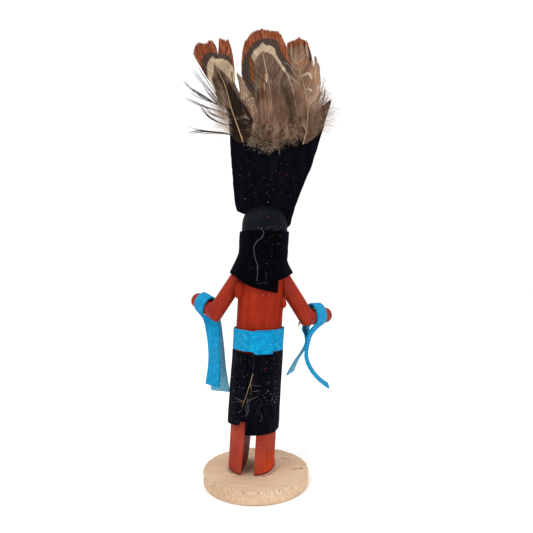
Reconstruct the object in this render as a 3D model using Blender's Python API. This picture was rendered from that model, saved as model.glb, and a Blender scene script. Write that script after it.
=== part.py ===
"""A small souvenir doll of painted dowels on a round base, with a felt-covered
headdress board and three feathers. The doll faces +Y, so the view along +Y sees its back.
Metres, +Z up, origin at the middle of the base's underside."""

import math

import bmesh
import bpy
from mathutils import Matrix, Vector

# Clearances
GAP = 0.0003
CLOTH_GAP = 0.0002

# Base disc
BASE_DIAMETER = 0.0508
BASE_THICKNESS = 0.00635
BASE_EDGE_ROUND = 0.0004

# Body dowel: legs, torso and head in one
BODY_DIAMETER = 0.0222
BODY_LENGTH = 0.1275
BODY_FOOT_X = -0.0024
BODY_LEAN = math.radians(3.25)
HEAD_ROUND = 0.0080
HEAD_CROWN = 0.0012
HEAD_STEPS = 7
FOOT_CHAMFER = 0.0010
LEG_SLOT_HEIGHT = 0.0300
LEG_SLOT_FOOT_WIDTH = 0.0063
LEG_SLOT_TOP_WIDTH = 0.0048
LEG_SLOT_RIGHT_WALL = 0.0030
LEG_SLOT_TURN = math.radians(-8)

# Heights on the body: each is a drop from, or a rise above, the one it hangs on
HEAD_TOP = BASE_THICKNESS + BODY_LENGTH
SHOULDER_DROP = 0.02705
SHOULDER_HEIGHT = HEAD_TOP - SHOULDER_DROP
ELBOW_DROP_LEFT = 0.0249
ELBOW_DROP_RIGHT = 0.0275
BELT_DROP = 0.0374
BELT_HEIGHT = SHOULDER_HEIGHT - BELT_DROP

# Arm dowels
ARM_DIAMETER = 0.00794
FOREARM_LENGTH = 0.0233
HAND_CHAMFER = 0.0005
ELBOW_REACH_LEFT = 0.0216
ELBOW_REACH_RIGHT = 0.0229
SHOULDER_REACH_LEFT = 0.0065
SHOULDER_REACH_RIGHT = 0.0043
FOREARM_AIM_LEFT = Vector((-0.50, 0.86, 0.195))
FOREARM_AIM_RIGHT = Vector((0.50, 0.865, -0.035))

# Dried glue lumps in the armpits, each a drop below the shoulder
GLUE_LEFT = dict(reach=0.0098, depth=-0.0054, drop=0.0136, radius=0.0027, long=0.0047)
GLUE_RIGHT = dict(reach=0.0108, depth=-0.0036, drop=0.0196, radius=0.0016, long=0.0030)
GLUE_LEAN = math.radians(14)

# Headdress board, its outline in metres from the middle of the head's top
BOARD_THICKNESS = 0.0030
BOARD_EDGE_ROUND = 0.0005
BOARD_EDGE_PROFILE = 0.6
BOARD_OUTLINE = [
    (-0.0111, -0.0039), (-0.0143, -0.0028), (-0.0153, 0.0021), (-0.0174, 0.0282),
    (-0.0189, 0.0587),
    (-0.0132, 0.0478), (-0.0092, 0.0445), (-0.0058, 0.0409), (-0.0011, 0.0349),
    (0.0043, 0.0335),
    (0.0126, 0.0383), (0.0208, 0.0441), (0.0319, 0.0516),
    (0.0270, 0.0346), (0.0222, 0.0189), (0.0159, 0.0043), (0.0124, -0.0069),
    (0.0120, -0.0094), (0.0100, -0.0113),
]

# Felt wraps. Shares run along a wrap from its outer end
FELT = 0.0007
WRAP_RAMP = math.radians(40)
COLLAR_LOOSE = 0.0002
KILT_LOOSE = 0.0005
KILT_LENGTH = 0.0389
KILT_FLAP_LENGTH = 0.0430
KILT_FLAP_ANGLE = math.radians(254)
KILT_FLAP_SHARE = 0.93
KILT_FLAP_EASE = 0.5
KILT_NOTCH = 0.0018
KILT_NOTCH_SHARE = 0.86
KILT_NOTCH_REACH = 0.03
KILT_OVERLAP = math.radians(48)
KILT_FLARE = 0.0010
KILT_FLARE_EASE = 1.6
COLLAR_RISE = 0.0142
COLLAR_SHOULDER_DROP = 0.0056
COLLAR_BACK_DROP = 0.0103
COLLAR_FRONT_DROP = 0.0098
COLLAR_TIP_DROP = 0.0143
COLLAR_TIP_SHARE = 0.2
COLLAR_FLARE_RISE_LEFT = 0.0042
COLLAR_FLARE_RISE_RIGHT = 0.0002
COLLAR_FLARE_LEFT = 0.0039
COLLAR_FLARE_RIGHT = 0.0031
COLLAR_FLARE_CURVE = 1.15
COLLAR_END_ANGLE = math.radians(305)
COLLAR_OVERLAP = math.radians(40)

# Suede strips: the belt and the two ribbons
STRIP_WIDTH = 0.0103
STRIP_THICKNESS = 0.0008
BELT_SAG = 0.0007
BELT_SAG_REACH = math.radians(80)
BELT_LOOSE = 0.0004
BELT_END_ANGLE = math.radians(303)
BELT_OVERLAP = math.radians(40)
RIBBON_PLACE_LEFT = 0.60
RIBBON_PLACE_RIGHT = 0.56
LOOP_SLACK_LEFT = 0.0010
LOOP_SLACK_RIGHT = 0.0022
LOOP_START = 225
LOOP_END = -35
LOOP_STEP = -26

# Feathers
SHAFT_DIAMETER = 0.0010
VANE_THICKNESS = 0.0006
FEATHER_BEND_HEIGHT = 0.0400
FEATHER_STANDS_OUT = 0.0020
FEATHER_BOW_SKEW = 0.7
FEATHER_ROWS = 22
FEATHER_SHARES = [-1, -0.66, -0.33, -0.06, 0, 0.06, 0.33, 0.66, 1]

SEGMENTS_BODY = 40
SEGMENTS_ARM = 24
SEGMENTS_BASE = 64


def clear_scene():
    """Remove every object."""
    for old in list(bpy.data.objects):
        bpy.data.objects.remove(old, do_unlink=True)


def material(name, colour, roughness):
    """A Principled material of one colour."""
    made = bpy.data.materials.new(name)
    made.use_nodes = True
    shader = made.node_tree.nodes["Principled BSDF"]
    shader.inputs["Base Color"].default_value = (*colour, 1)
    shader.inputs["Roughness"].default_value = roughness
    shader.inputs["Metallic"].default_value = 0.0
    return made


def object_from(name, bm, surface, sharp=math.radians(40)):
    """Make a smooth-shaded object of a finished bmesh."""
    bmesh.ops.recalc_face_normals(bm, faces=bm.faces)
    mesh = bpy.data.meshes.new(name)
    bm.to_mesh(mesh)
    bm.free()
    mesh.shade_smooth()
    mesh.set_sharp_from_angle(angle=sharp)
    made = bpy.data.objects.new(name, mesh)
    bpy.context.scene.collection.objects.link(made)
    if surface:
        mesh.materials.append(surface)
    return made


def cutter(name, bm):
    """A hidden object that only cuts others."""
    made = object_from(name, bm, None)
    made.hide_render = True
    made.display_type = "WIRE"
    return made


def cut(piece, tool, operation="DIFFERENCE"):
    """Add a Boolean to a piece."""
    change = piece.modifiers.new(tool.name, "BOOLEAN")
    change.object = tool
    change.operation = operation
    change.solver = "EXACT"


def body_axis(height):
    """The body dowel's centre at a height."""
    run = (height - BASE_THICKNESS) * math.tan(BODY_LEAN)
    return Vector((BODY_FOOT_X + run, 0, height))


def around_body(angle, radius, height):
    """A point at an angle round the leaning body."""
    centre = body_axis(height)
    return centre + Vector((radius * math.cos(angle), radius * math.sin(angle), 0))


def smooth(value):
    """Ease from 0 to 1."""
    value = min(1.0, max(0.0, value))
    return value * value * (3 - 2 * value)


def lathe(profile, segments):
    """A turned solid round Z from (radius, height) points, closed at both ends."""
    bm = bmesh.new()
    rings = []
    for radius, height in profile:
        ring = []
        for k in range(segments):
            turn = 2 * math.pi * k / segments
            spot = (radius * math.cos(turn), radius * math.sin(turn), height)
            ring.append(bm.verts.new(spot))
        rings.append(ring)
    for low, high in zip(rings, rings[1:]):
        for k in range(segments):
            n = (k + 1) % segments
            bm.faces.new((low[k], low[n], high[n], high[k]))
    bm.faces.new(reversed(rings[0]))
    bm.faces.new(rings[-1])
    return bm


def slab(front, back):
    """A closed solid between two grids of points of the same size."""
    bm = bmesh.new()
    rows, columns = len(front), len(front[0])
    a = [[bm.verts.new(p) for p in row] for row in front]
    b = [[bm.verts.new(p) for p in row] for row in back]
    for i in range(rows - 1):
        for j in range(columns - 1):
            bm.faces.new((a[i][j], a[i][j + 1], a[i + 1][j + 1], a[i + 1][j]))
            bm.faces.new((b[i][j], b[i + 1][j], b[i + 1][j + 1], b[i][j + 1]))
    for i in range(rows - 1):
        bm.faces.new((a[i][0], a[i + 1][0], b[i + 1][0], b[i][0]))
        bm.faces.new((a[i][-1], b[i][-1], b[i + 1][-1], a[i + 1][-1]))
    for j in range(columns - 1):
        bm.faces.new((a[0][j], b[0][j], b[0][j + 1], a[0][j + 1]))
        bm.faces.new((a[-1][j], a[-1][j + 1], b[-1][j + 1], b[-1][j]))
    return bm


def along(direction, place):
    """A matrix that puts +Z along a direction at a place."""
    turn = Vector(direction).to_track_quat("Z", "Y").to_matrix().to_4x4()
    return Matrix.Translation(place) @ turn


def box(size, matrix):
    """A bmesh box of a size, centred, then placed."""
    bm = bmesh.new()
    bmesh.ops.create_cube(bm, size=1)
    bmesh.ops.scale(bm, vec=size, verts=bm.verts)
    bmesh.ops.transform(bm, matrix=matrix, verts=bm.verts)
    return bm


def keep_side(bm, place, normal):
    """Cut a solid flat and keep the side that the normal points to."""
    geometry = bm.verts[:] + bm.edges[:] + bm.faces[:]
    made = bmesh.ops.bisect_plane(
        bm, geom=geometry, plane_co=place, plane_no=normal, clear_inner=True
    )
    edges = [e for e in made["geom_cut"] if isinstance(e, bmesh.types.BMEdge)]
    bmesh.ops.holes_fill(bm, edges=edges)


def make_base(wood):
    """A round slice of board."""
    radius, top, edge = BASE_DIAMETER / 2, BASE_THICKNESS, BASE_EDGE_ROUND
    profile = [(radius - edge, 0), (radius, edge), (radius, top - edge), (radius - edge, top)]
    return object_from("base", lathe(profile, SEGMENTS_BASE), wood)


def body_matrix():
    """Where the dowel's own frame stands: its foot on the base."""
    lean = Matrix.Rotation(BODY_LEAN, 4, "Y")
    return Matrix.Translation(body_axis(BASE_THICKNESS)) @ lean


def glue_lump(side, spec):
    """A drop of painted glue between arm and torso, longer than wide."""
    bm = bmesh.new()
    bmesh.ops.create_uvsphere(bm, u_segments=16, v_segments=10, radius=1)
    size = Vector((spec["radius"], spec["radius"], spec["long"]))
    bmesh.ops.scale(bm, vec=size, verts=bm.verts)
    height = SHOULDER_HEIGHT - spec["drop"]
    place = body_axis(height) + Vector((side * spec["reach"], spec["depth"], 0))
    lean = Matrix.Rotation(-side * GLUE_LEAN, 4, "Y")
    bmesh.ops.transform(bm, matrix=Matrix.Translation(place) @ lean, verts=bm.verts)
    return bm


def leg_slot():
    """The sawn slot between the legs, wider at the feet, its right wall along the dowel."""
    spread = (LEG_SLOT_FOOT_WIDTH - LEG_SLOT_TOP_WIDTH) / LEG_SLOT_HEIGHT
    low, high, far = -2 * BASE_THICKNESS, LEG_SLOT_HEIGHT, BODY_DIAMETER
    right = LEG_SLOT_RIGHT_WALL
    left_low = right - LEG_SLOT_FOOT_WIDTH + low * spread
    left_high = right - LEG_SLOT_TOP_WIDTH
    outline = [(left_low, low), (right, low), (right, high), (left_high, high)]
    front = [[(x, -far, z) for x, z in outline[:2]], [(x, -far, z) for x, z in outline[:1:-1]]]
    back = [[(x, far, z) for x, _, z in row] for row in front]
    bm = slab(front, back)
    turn = body_matrix() @ Matrix.Rotation(LEG_SLOT_TURN, 4, "Z")
    bmesh.ops.transform(bm, matrix=turn, verts=bm.verts)
    return bm


def make_body(paint, arm_tools, board_tool):
    """The dowel with its rounded head, glue lumps, leg slot and board slot."""
    radius = BODY_DIAMETER / 2
    crown_foot = BODY_LENGTH - HEAD_CROWN
    profile = [(radius, -BASE_THICKNESS), (radius, crown_foot - HEAD_ROUND)]
    for k in range(1, HEAD_STEPS + 1):
        turn = math.pi / 2 * k / HEAD_STEPS
        inset = HEAD_ROUND * (1 - math.cos(turn))
        rise = HEAD_ROUND * math.sin(turn) + HEAD_CROWN * k / HEAD_STEPS
        profile.append((radius - inset, crown_foot - HEAD_ROUND + rise))
    bm = lathe(profile, SEGMENTS_BODY)
    bmesh.ops.transform(bm, matrix=body_matrix(), verts=bm.verts)
    foot = body_axis(BASE_THICKNESS + GAP)
    keep_side(bm, foot, (0, 0, 1))
    rim = [e for e in bm.edges if all(abs(v.co.z - foot.z) < 1e-6 for v in e.verts)]
    bmesh.ops.bevel(
        bm, geom=rim, offset=FOOT_CHAMFER, offset_type="OFFSET", segments=1, affect="EDGES"
    )
    body = object_from("body", bm, paint)

    for side, spec, arm_tool in ((-1, GLUE_LEFT, arm_tools[0]), (1, GLUE_RIGHT, arm_tools[1])):
        lump = cutter("glue_lump", glue_lump(side, spec))
        cut(lump, arm_tool)
        cut(body, lump, "UNION")

    cut(body, cutter("leg_slot", leg_slot()))
    cut(body, board_tool)
    return body


def elbow(side):
    """Where the arm's two axes meet."""
    drop = ELBOW_DROP_LEFT if side < 0 else ELBOW_DROP_RIGHT
    reach = ELBOW_REACH_LEFT if side < 0 else ELBOW_REACH_RIGHT
    return body_axis(SHOULDER_HEIGHT - drop) + Vector((side * reach, 0, 0))


def shoulder(side):
    """The arm axis's end inside the torso."""
    reach = SHOULDER_REACH_LEFT if side < 0 else SHOULDER_REACH_RIGHT
    return body_axis(SHOULDER_HEIGHT) + Vector((side * reach, 0, 0))


def forearm_aim(side):
    """The forearm's direction."""
    return (FOREARM_AIM_LEFT if side < 0 else FOREARM_AIM_RIGHT).normalized()


def rod(start, end, radius, chamfer=0.0):
    """A dowel between two points, with a chamfer on its far end."""
    length = (end - start).length
    profile = [(radius, 0), (radius, length)]
    if chamfer:
        profile = [(radius, 0), (radius, length - chamfer), (radius - chamfer, length)]
    bm = lathe(profile, SEGMENTS_ARM)
    bmesh.ops.transform(bm, matrix=along(end - start, start), verts=bm.verts)
    return bm


def mitre(side):
    """The elbow's cutting plane, its normal pointing to the upper arm."""
    upper = (shoulder(side) - elbow(side)).normalized()
    return (upper - forearm_aim(side)).normalized()


def upper_arm_solid(side, grow=0.0):
    """The upper arm's dowel, mitred at the elbow, running into the torso."""
    joint, top = elbow(side), shoulder(side)
    back = joint - (top - joint).normalized() * ARM_DIAMETER
    bm = rod(back, top, ARM_DIAMETER / 2 + grow)
    normal = mitre(side)
    keep_side(bm, joint + normal * (GAP / 2 - grow), normal)
    return bm


def make_upper_arm(side, name, paint, torso_tool):
    """An upper arm cut to the torso."""
    arm = object_from(name, upper_arm_solid(side), paint)
    cut(arm, torso_tool)
    return arm


def make_forearm(side, name, paint):
    """A forearm mitred at the elbow, its hand a plain cut end."""
    joint, aim = elbow(side), forearm_aim(side)
    back = joint - aim * ARM_DIAMETER
    bm = rod(back, joint + aim * FOREARM_LENGTH, ARM_DIAMETER / 2, HAND_CHAMFER)
    normal = -mitre(side)
    keep_side(bm, joint + normal * GAP / 2, normal)
    return object_from(name, bm, paint)


def make_board(felt):
    """The headdress board: its outline as a thick plate with softened edges."""
    top = body_axis(HEAD_TOP)
    bm = bmesh.new()
    verts = [
        bm.verts.new(top + Vector((x, -BOARD_THICKNESS / 2, z))) for x, z in BOARD_OUTLINE
    ]
    face = bm.faces.new(verts)
    bmesh.ops.recalc_face_normals(bm, faces=[face])
    made = bmesh.ops.extrude_face_region(bm, geom=[face])
    moved = [v for v in made["geom"] if isinstance(v, bmesh.types.BMVert)]
    bmesh.ops.translate(bm, vec=(0, BOARD_THICKNESS, 0), verts=moved)
    bmesh.ops.recalc_face_normals(bm, faces=bm.faces)
    bmesh.ops.bevel(
        bm, geom=bm.edges[:], offset=BOARD_EDGE_ROUND, offset_type="OFFSET",
        segments=2, affect="EDGES", profile=BOARD_EDGE_PROFILE,
    )
    return object_from("headdress_board", bm, felt)


def board_slot():
    """The sawn slot that the board stands in: its lower edge and faces with clearance."""
    top = body_axis(HEAD_TOP)
    low_left, low_right = BOARD_OUTLINE[0], BOARD_OUTLINE[-1]
    run = Vector((low_right[0] - low_left[0], 0, low_right[1] - low_left[1]))
    tilt = math.atan2(-run.z, run.x)
    middle = top + Vector((low_left[0] + run.x / 2, 0, low_left[1] + run.z / 2))
    deep = BODY_DIAMETER
    width = BOARD_THICKNESS + 2 * GAP
    turn = Matrix.Rotation(tilt, 4, "Y")
    shift = Matrix.Translation((0, 0, deep / 2 - GAP))
    matrix = Matrix.Translation(middle) @ turn @ shift
    return cutter("board_slot", box((BODY_DIAMETER * 3, width, deep), matrix))


def wrap(name, surface, turns, start, height, rows, columns, thickness, loose, spread=None):
    """A strip wound round the body from its outer end, the inner end tucked beneath.

    start is the outer end's angle and turns the signed sweep. height(share, angle) gives the
    strip's top and hem, loose its clearance from the body, and spread(angle, height) a
    further radius where it stands off."""
    pitch = thickness + CLOTH_GAP
    inner = BODY_DIAMETER / 2 + loose
    front, back = [], []
    for i in range(columns + 1):
        share = i / columns
        angle = start + turns * share
        overlap = abs(turns) - 2 * math.pi
        radius = inner + pitch * smooth(1 - (share * abs(turns) - overlap) / WRAP_RAMP)
        top, hem = height(share, angle)
        row_out, row_in = [], []
        for k in range(rows + 1):
            z = top + (hem - top) * k / rows
            more = spread(angle, z) if spread else 0.0
            row_out.append(around_body(angle, radius + thickness + more, z))
            row_in.append(around_body(angle, radius + more, z))
        front.append(row_out)
        back.append(row_in)
    return object_from(name, slab(front, back), surface)


def belt_sag(angle):
    """How far the belt hangs at an angle: most at its free end."""
    apart = abs(math.remainder(angle - BELT_END_ANGLE, 2 * math.pi))
    return BELT_SAG * smooth(1 - apart / BELT_SAG_REACH)


def belt_height(share, angle):
    """The belt sags a little towards its free end."""
    outer = 1.0 if share < 0.5 else 0.0
    middle = BELT_HEIGHT - belt_sag(angle) * outer
    return middle + STRIP_WIDTH / 2, middle - STRIP_WIDTH / 2


def kilt_height(share, angle):
    """The kilt hangs below the belt's lower edge; its outer flap is longer."""
    top = BELT_HEIGHT - belt_sag(angle) - STRIP_WIDTH / 2 - GAP
    drop = smooth((KILT_FLAP_SHARE - share) / KILT_FLAP_EASE)
    length = KILT_LENGTH + (KILT_FLAP_LENGTH - KILT_LENGTH) * drop
    apart = (share - KILT_NOTCH_SHARE) / KILT_NOTCH_REACH
    return top, BELT_HEIGHT - length + KILT_NOTCH * math.exp(-apart * apart)


def kilt_spread(angle, height):
    """The left side of the kilt stands a little off the leg."""
    top = BELT_HEIGHT - STRIP_WIDTH / 2
    down = (top - height) / (KILT_FLAP_LENGTH - STRIP_WIDTH / 2)
    leftward = (1 - math.cos(angle)) / 2
    return KILT_FLARE * smooth(down * KILT_FLARE_EASE) * leftward ** 2


def collar_height(share, angle):
    """High on the shoulders, low at back and front, longest at the free end."""
    side = abs(math.cos(angle)) ** 3
    drop = COLLAR_BACK_DROP if math.sin(angle) < 0 else COLLAR_FRONT_DROP
    drop += (COLLAR_SHOULDER_DROP - drop) * side
    drop += (COLLAR_TIP_DROP - drop) * smooth(1 - share / COLLAR_TIP_SHARE)
    return SHOULDER_HEIGHT + COLLAR_RISE, SHOULDER_HEIGHT - drop


def collar_spread(angle, height):
    """The cape flares over the shoulders, further on the left."""
    right = math.cos(angle) > 0
    rise = COLLAR_FLARE_RISE_RIGHT if right else COLLAR_FLARE_RISE_LEFT
    flare = COLLAR_FLARE_RIGHT if right else COLLAR_FLARE_LEFT
    down = (SHOULDER_HEIGHT + rise - height) / (rise + COLLAR_SHOULDER_DROP)
    down = min(1.0, max(0.0, down)) ** COLLAR_FLARE_CURVE
    return flare * down * math.cos(angle) ** 2


def curve_through(points, steps):
    """A smooth curve through points, with an even number of steps in each span."""
    made = []
    last = len(points) - 1
    for k in range(last):
        before = points[max(k - 1, 0)]
        a, b = points[k], points[k + 1]
        after = points[min(k + 2, last)]
        for s in range(steps):
            t = s / steps
            made.append(0.5 * (
                2 * a + (b - before) * t
                + (2 * before - 5 * a + 4 * b - after) * t ** 2
                + (3 * a - before - 3 * b + after) * t ** 3
            ))
    made.append(points[-1].copy())
    return made


def ribbon_route(side, outer_tail, inner_tail):
    """A ribbon's middle line and width direction: up from one tail, over the forearm, down."""
    place = RIBBON_PLACE_LEFT if side < 0 else RIBBON_PLACE_RIGHT
    slack = LOOP_SLACK_LEFT if side < 0 else LOOP_SLACK_RIGHT
    aim = forearm_aim(side)
    centre = elbow(side) + aim * FOREARM_LENGTH * place
    inward = aim.cross(Vector((0, 0, 1))).normalized() * -side
    up = inward.cross(aim).normalized() * -side
    radius = ARM_DIAMETER / 2 + GAP + STRIP_THICKNESS / 2
    loop = []
    for degrees in range(LOOP_START, LOOP_END - 1, LOOP_STEP):
        turn = math.radians(degrees)
        lift = radius + slack * max(0.0, math.sin(turn))
        spot = centre + inward * radius * math.cos(turn) + up * lift * math.sin(turn)
        loop.append((spot, aim))
    start, end = loop[0][0], loop[-1][0]
    head = [(start + Vector(p), Vector(w)) for p, w in reversed(outer_tail)]
    foot = [(end + Vector(p), Vector(w)) for p, w in inner_tail]
    return head + loop + foot


def make_ribbon(name, surface, route):
    """A strip of suede along a route."""
    steps = 2
    middle = curve_through([p for p, _ in route], steps)
    across = curve_through([w for _, w in route], steps)
    front, back = [], []
    for i, spot in enumerate(middle):
        run = middle[min(i + 1, len(middle) - 1)] - middle[max(i - 1, 0)]
        wide = across[i].normalized()
        face = run.cross(wide).normalized() * STRIP_THICKNESS / 2
        edges = [spot + wide * STRIP_WIDTH * share for share in (-0.5, 0, 0.5)]
        front.append([p + face for p in edges])
        back.append([p - face for p in edges])
    return object_from(name, slab(front, back), surface)


def station(stations, share):
    """A smooth value between (share, value) stations."""
    for (a, low), (b, high) in zip(stations, stations[1:]):
        if share <= b:
            return low + (high - low) * smooth((share - a) / (b - a))
    return stations[-1][1]


# Each feather: quill foot and vane top from the head's top, the shaft's bow, its place in
# the stack from the board outwards, and half widths in shares of its length
FEATHER_LEFT = dict(
    foot=(-0.0108, 0.0299), top=(-0.0257, 0.0768), bow=0.0003, layer=2,
    left=[(0, 0.01), (0.2, 0.04), (0.4, 0.105), (0.68, 0.145), (0.81, 0.18), (0.95, 0.20),
          (1, 0.15)],
    right=[(0, 0.03), (0.1, 0.12), (0.25, 0.21), (0.45, 0.185), (0.65, 0.14), (0.72, 0.125),
           (0.85, 0.155), (0.96, 0.15), (1, 0.08)],
)
FEATHER_CENTRE = dict(
    foot=(0.002, 0.031), top=(0.0003, 0.0839), bow=-0.001, layer=1,
    left=[(0, 0.08), (0.1, 0.14), (0.3, 0.20), (0.6, 0.24), (0.78, 0.216), (0.887, 0.174),
          (0.965, 0.10), (1, 0.05)],
    right=[(0, 0.10), (0.12, 0.22), (0.3, 0.22), (0.57, 0.186), (0.83, 0.174), (0.9, 0.142),
           (0.97, 0.095), (1, 0.05)],
)
FEATHER_RIGHT = dict(
    foot=(0.0179, 0.0289), top=(0.0143, 0.0797), bow=0.0026, layer=0,
    left=[(0, 0.06), (0.2, 0.16), (0.5, 0.15), (0.8, 0.12), (0.92, 0.10), (0.97, 0.08),
          (1, 0.04)],
    right=[(0, 0.06), (0.1, 0.15), (0.28, 0.19), (0.54, 0.165), (0.72, 0.15), (0.8, 0.125),
           (0.9, 0.115), (0.96, 0.085), (1, 0.04)],
)


def make_feather(name, surface, spec):
    """A feather as one thin plate with a ridge for its shaft."""
    top = body_axis(HEAD_TOP)
    pitch = SHAFT_DIAMETER / 2 + VANE_THICKNESS / 2 + GAP
    near = -(BOARD_THICKNESS / 2 + GAP + SHAFT_DIAMETER / 2 + pitch * spec["layer"])
    foot = Vector((spec["foot"][0], 0, spec["foot"][1]))
    run = Vector((spec["top"][0], 0, spec["top"][1])) - foot
    length = run.length
    forward = run.normalized()
    aside = Vector((forward.z, 0, -forward.x))
    front, back = [], []
    for i in range(FEATHER_ROWS + 1):
        t = i / FEATHER_ROWS
        bend = spec["bow"] * math.sin(math.pi * t ** FEATHER_BOW_SKEW)
        middle = top + foot + run * t + aside * bend
        middle.y = near
        row_front, row_back = [], []
        for s in FEATHER_SHARES:
            wide = station(spec["left"] if s < 0 else spec["right"], t) * length
            spot = middle + aside * s * wide
            climb = max(0.0, spot.z - top.z - FEATHER_BEND_HEIGHT) / FEATHER_BEND_HEIGHT
            spot.y -= FEATHER_STANDS_OUT * climb * climb
            shaft = SHAFT_DIAMETER if s == 0 else VANE_THICKNESS
            row_front.append(spot + Vector((0, -shaft / 2, 0)))
            row_back.append(spot + Vector((0, shaft / 2, 0)))
        front.append(row_front)
        back.append(row_back)
    return object_from(name, slab(front, back), surface, math.radians(60))


# Ribbon tails: steps from the loop's end, and the width's direction there.
# The outer tail hangs from the loop's outer side, the inner one from the side by the body
TAILS_LEFT = (
    [((0.0042, -0.0018, -0.0031), (-0.52, 0.85, 0.08)), ((0.0072, -0.0032, -0.0077), (-0.56, 0.83, 0)),
     ((0.0084, -0.0042, -0.0153), (-0.58, 0.81, 0)), ((0.0091, -0.0046, -0.0233), (-0.6, 0.8, 0)),
     ((0.0088, -0.0046, -0.0303), (-0.63, 0.78, 0)), ((0.0082, -0.0044, -0.0359), (-0.66, 0.75, 0))],
    [((0.0016, 0.0003, -0.0045), (-0.52, 0.85, 0.1)), ((0.0025, 0.0001, -0.012), (-0.6, 0.8, 0)),
     ((0.0029, -0.0001, -0.02), (-0.72, 0.69, 0)), ((0.0031, -0.0003, -0.03), (-0.87, 0.5, 0)),
     ((0.0046, -0.0005, -0.041), (-0.95, 0.32, 0))],
)
TAILS_RIGHT = (
    [((-0.0026, -0.0004, -0.0023), (0.46, 0.89, 0)), ((-0.0051, -0.0005, -0.0061), (0.32, 0.95, 0)),
     ((-0.0067, -0.0005, -0.0109), (0.25, 0.97, 0)), ((-0.0074, -0.0005, -0.0165), (0.2, 0.98, 0)),
     ((-0.0061, -0.0005, -0.0215), (0.16, 0.98, 0)), ((-0.0033, -0.0005, -0.0262), (0.14, 0.98, 0)),
     ((0.0, -0.0005, -0.0296), (0.12, 0.98, 0)), ((0.0028, -0.0005, -0.0317), (0.12, 0.98, 0))],
    [((-0.0016, -0.0004, -0.0034), (0.4, 0.92, 0)), ((-0.001, -0.0005, -0.0063), (0.3, 0.95, 0)),
     ((-0.0008, -0.0003, -0.0099), (0.26, 0.96, 0)), ((-0.0024, -0.0001, -0.0139), (0.28, 0.96, 0)),
     ((-0.0065, 0.0003, -0.0202), (0.3, 0.95, 0)), ((-0.0097, 0.0005, -0.0271), (0.3, 0.95, 0))],
)


def make_doll():
    """Build every piece."""
    clear_scene()
    wood = material("raw_wood", (0.67, 0.45, 0.29), 0.8)
    red = material("brick_red_paint", (0.38, 0.026, 0.013), 0.5)
    black = material("black_felt", (0.004, 0.004, 0.006), 0.95)
    blue = material("turquoise_suede", (0.005, 0.35, 0.66), 0.9)
    brown = material("pheasant_feather", (0.17, 0.10, 0.07), 0.7)

    make_base(wood)
    long_dowel = lathe([(BODY_DIAMETER / 2 + GAP, -GAP), (BODY_DIAMETER / 2 + GAP, BODY_LENGTH)],
                       SEGMENTS_BODY)
    bmesh.ops.transform(long_dowel, matrix=body_matrix(), verts=long_dowel.verts)
    torso_tool = cutter("torso_clearance", long_dowel)
    arm_tools = []
    for side, name in ((-1, "arm_clearance_left"), (1, "arm_clearance_right")):
        arm_tools.append(cutter(name, upper_arm_solid(side, GAP)))
    board_tool = board_slot()

    make_body(red, arm_tools, board_tool)
    for side, label in ((-1, "left"), (1, "right")):
        make_upper_arm(side, "upper_arm_" + label, red, torso_tool)
        make_forearm(side, "forearm_" + label, red)
    make_board(black)

    wrap("belt", blue, -(2 * math.pi + BELT_OVERLAP), BELT_END_ANGLE, belt_height,
         2, 56, STRIP_THICKNESS, BELT_LOOSE)
    wrap("kilt", black, 2 * math.pi + KILT_OVERLAP, KILT_FLAP_ANGLE, kilt_height,
         6, 56, FELT, KILT_LOOSE, kilt_spread)
    collar = wrap("collar", black, -(2 * math.pi + COLLAR_OVERLAP), COLLAR_END_ANGLE,
                  collar_height, 8, 56, FELT, COLLAR_LOOSE, collar_spread)
    for tool in arm_tools:
        cut(collar, tool)

    for side, label, tails in ((-1, "left", TAILS_LEFT), (1, "right", TAILS_RIGHT)):
        make_ribbon("ribbon_" + label, blue, ribbon_route(side, *tails))

    for label, spec in (("left", FEATHER_LEFT), ("centre", FEATHER_CENTRE),
                        ("right", FEATHER_RIGHT)):
        make_feather("feather_" + label, brown, spec)


make_doll()
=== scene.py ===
import math
import random
from functools import partial

import bpy
import numpy as np
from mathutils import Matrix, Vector, noise


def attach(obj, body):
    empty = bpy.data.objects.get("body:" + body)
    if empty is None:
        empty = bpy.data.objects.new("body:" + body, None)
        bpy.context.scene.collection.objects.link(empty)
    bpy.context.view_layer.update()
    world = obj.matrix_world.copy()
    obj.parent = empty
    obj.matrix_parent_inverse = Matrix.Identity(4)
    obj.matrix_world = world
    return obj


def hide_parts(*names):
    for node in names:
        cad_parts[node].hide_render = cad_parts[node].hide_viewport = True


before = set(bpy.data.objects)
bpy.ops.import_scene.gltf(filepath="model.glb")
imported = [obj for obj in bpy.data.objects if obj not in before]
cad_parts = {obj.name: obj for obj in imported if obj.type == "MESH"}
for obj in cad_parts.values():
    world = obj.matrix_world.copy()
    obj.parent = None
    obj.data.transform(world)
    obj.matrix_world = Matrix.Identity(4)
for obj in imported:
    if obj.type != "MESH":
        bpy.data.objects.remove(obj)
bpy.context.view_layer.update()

# Sizes are metres. MM turns millimetres into metres
MM = 0.001
random.seed(7)

# The camera: its place, and its lens in widths of the square frame
CAMERA = Vector((0.0051, -0.230, 0.10415))
LENS_IN_FRAMES = 472 / 533
SENSOR = 36

# The leaning body dowel and the base
BASE_TOP = 0.00635
BASE_RADIUS = 0.0254
BODY_RADIUS = 0.0111
BODY_LENGTH = 0.1275
FOOT_X = -0.0024
LEAN = math.radians(3.25)

# The suede strips, the felt, and the gap between two layers of it
STRIP_WIDTH = 0.0103
STRIP_THICK = 0.0008
FELT = 0.0007
CLOTH_GAP = 0.0002


def body_axis(height):
    """The body dowel's centre at a height."""
    return Vector((FOOT_X + (height - BASE_TOP) * math.tan(LEAN), 0, height))


HEAD_TOP = body_axis(BASE_TOP + BODY_LENGTH)


def ease(value):
    """From 0 to 1 with soft ends."""
    value = min(1.0, max(0.0, value))
    return value * value * (3 - 2 * value)


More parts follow.
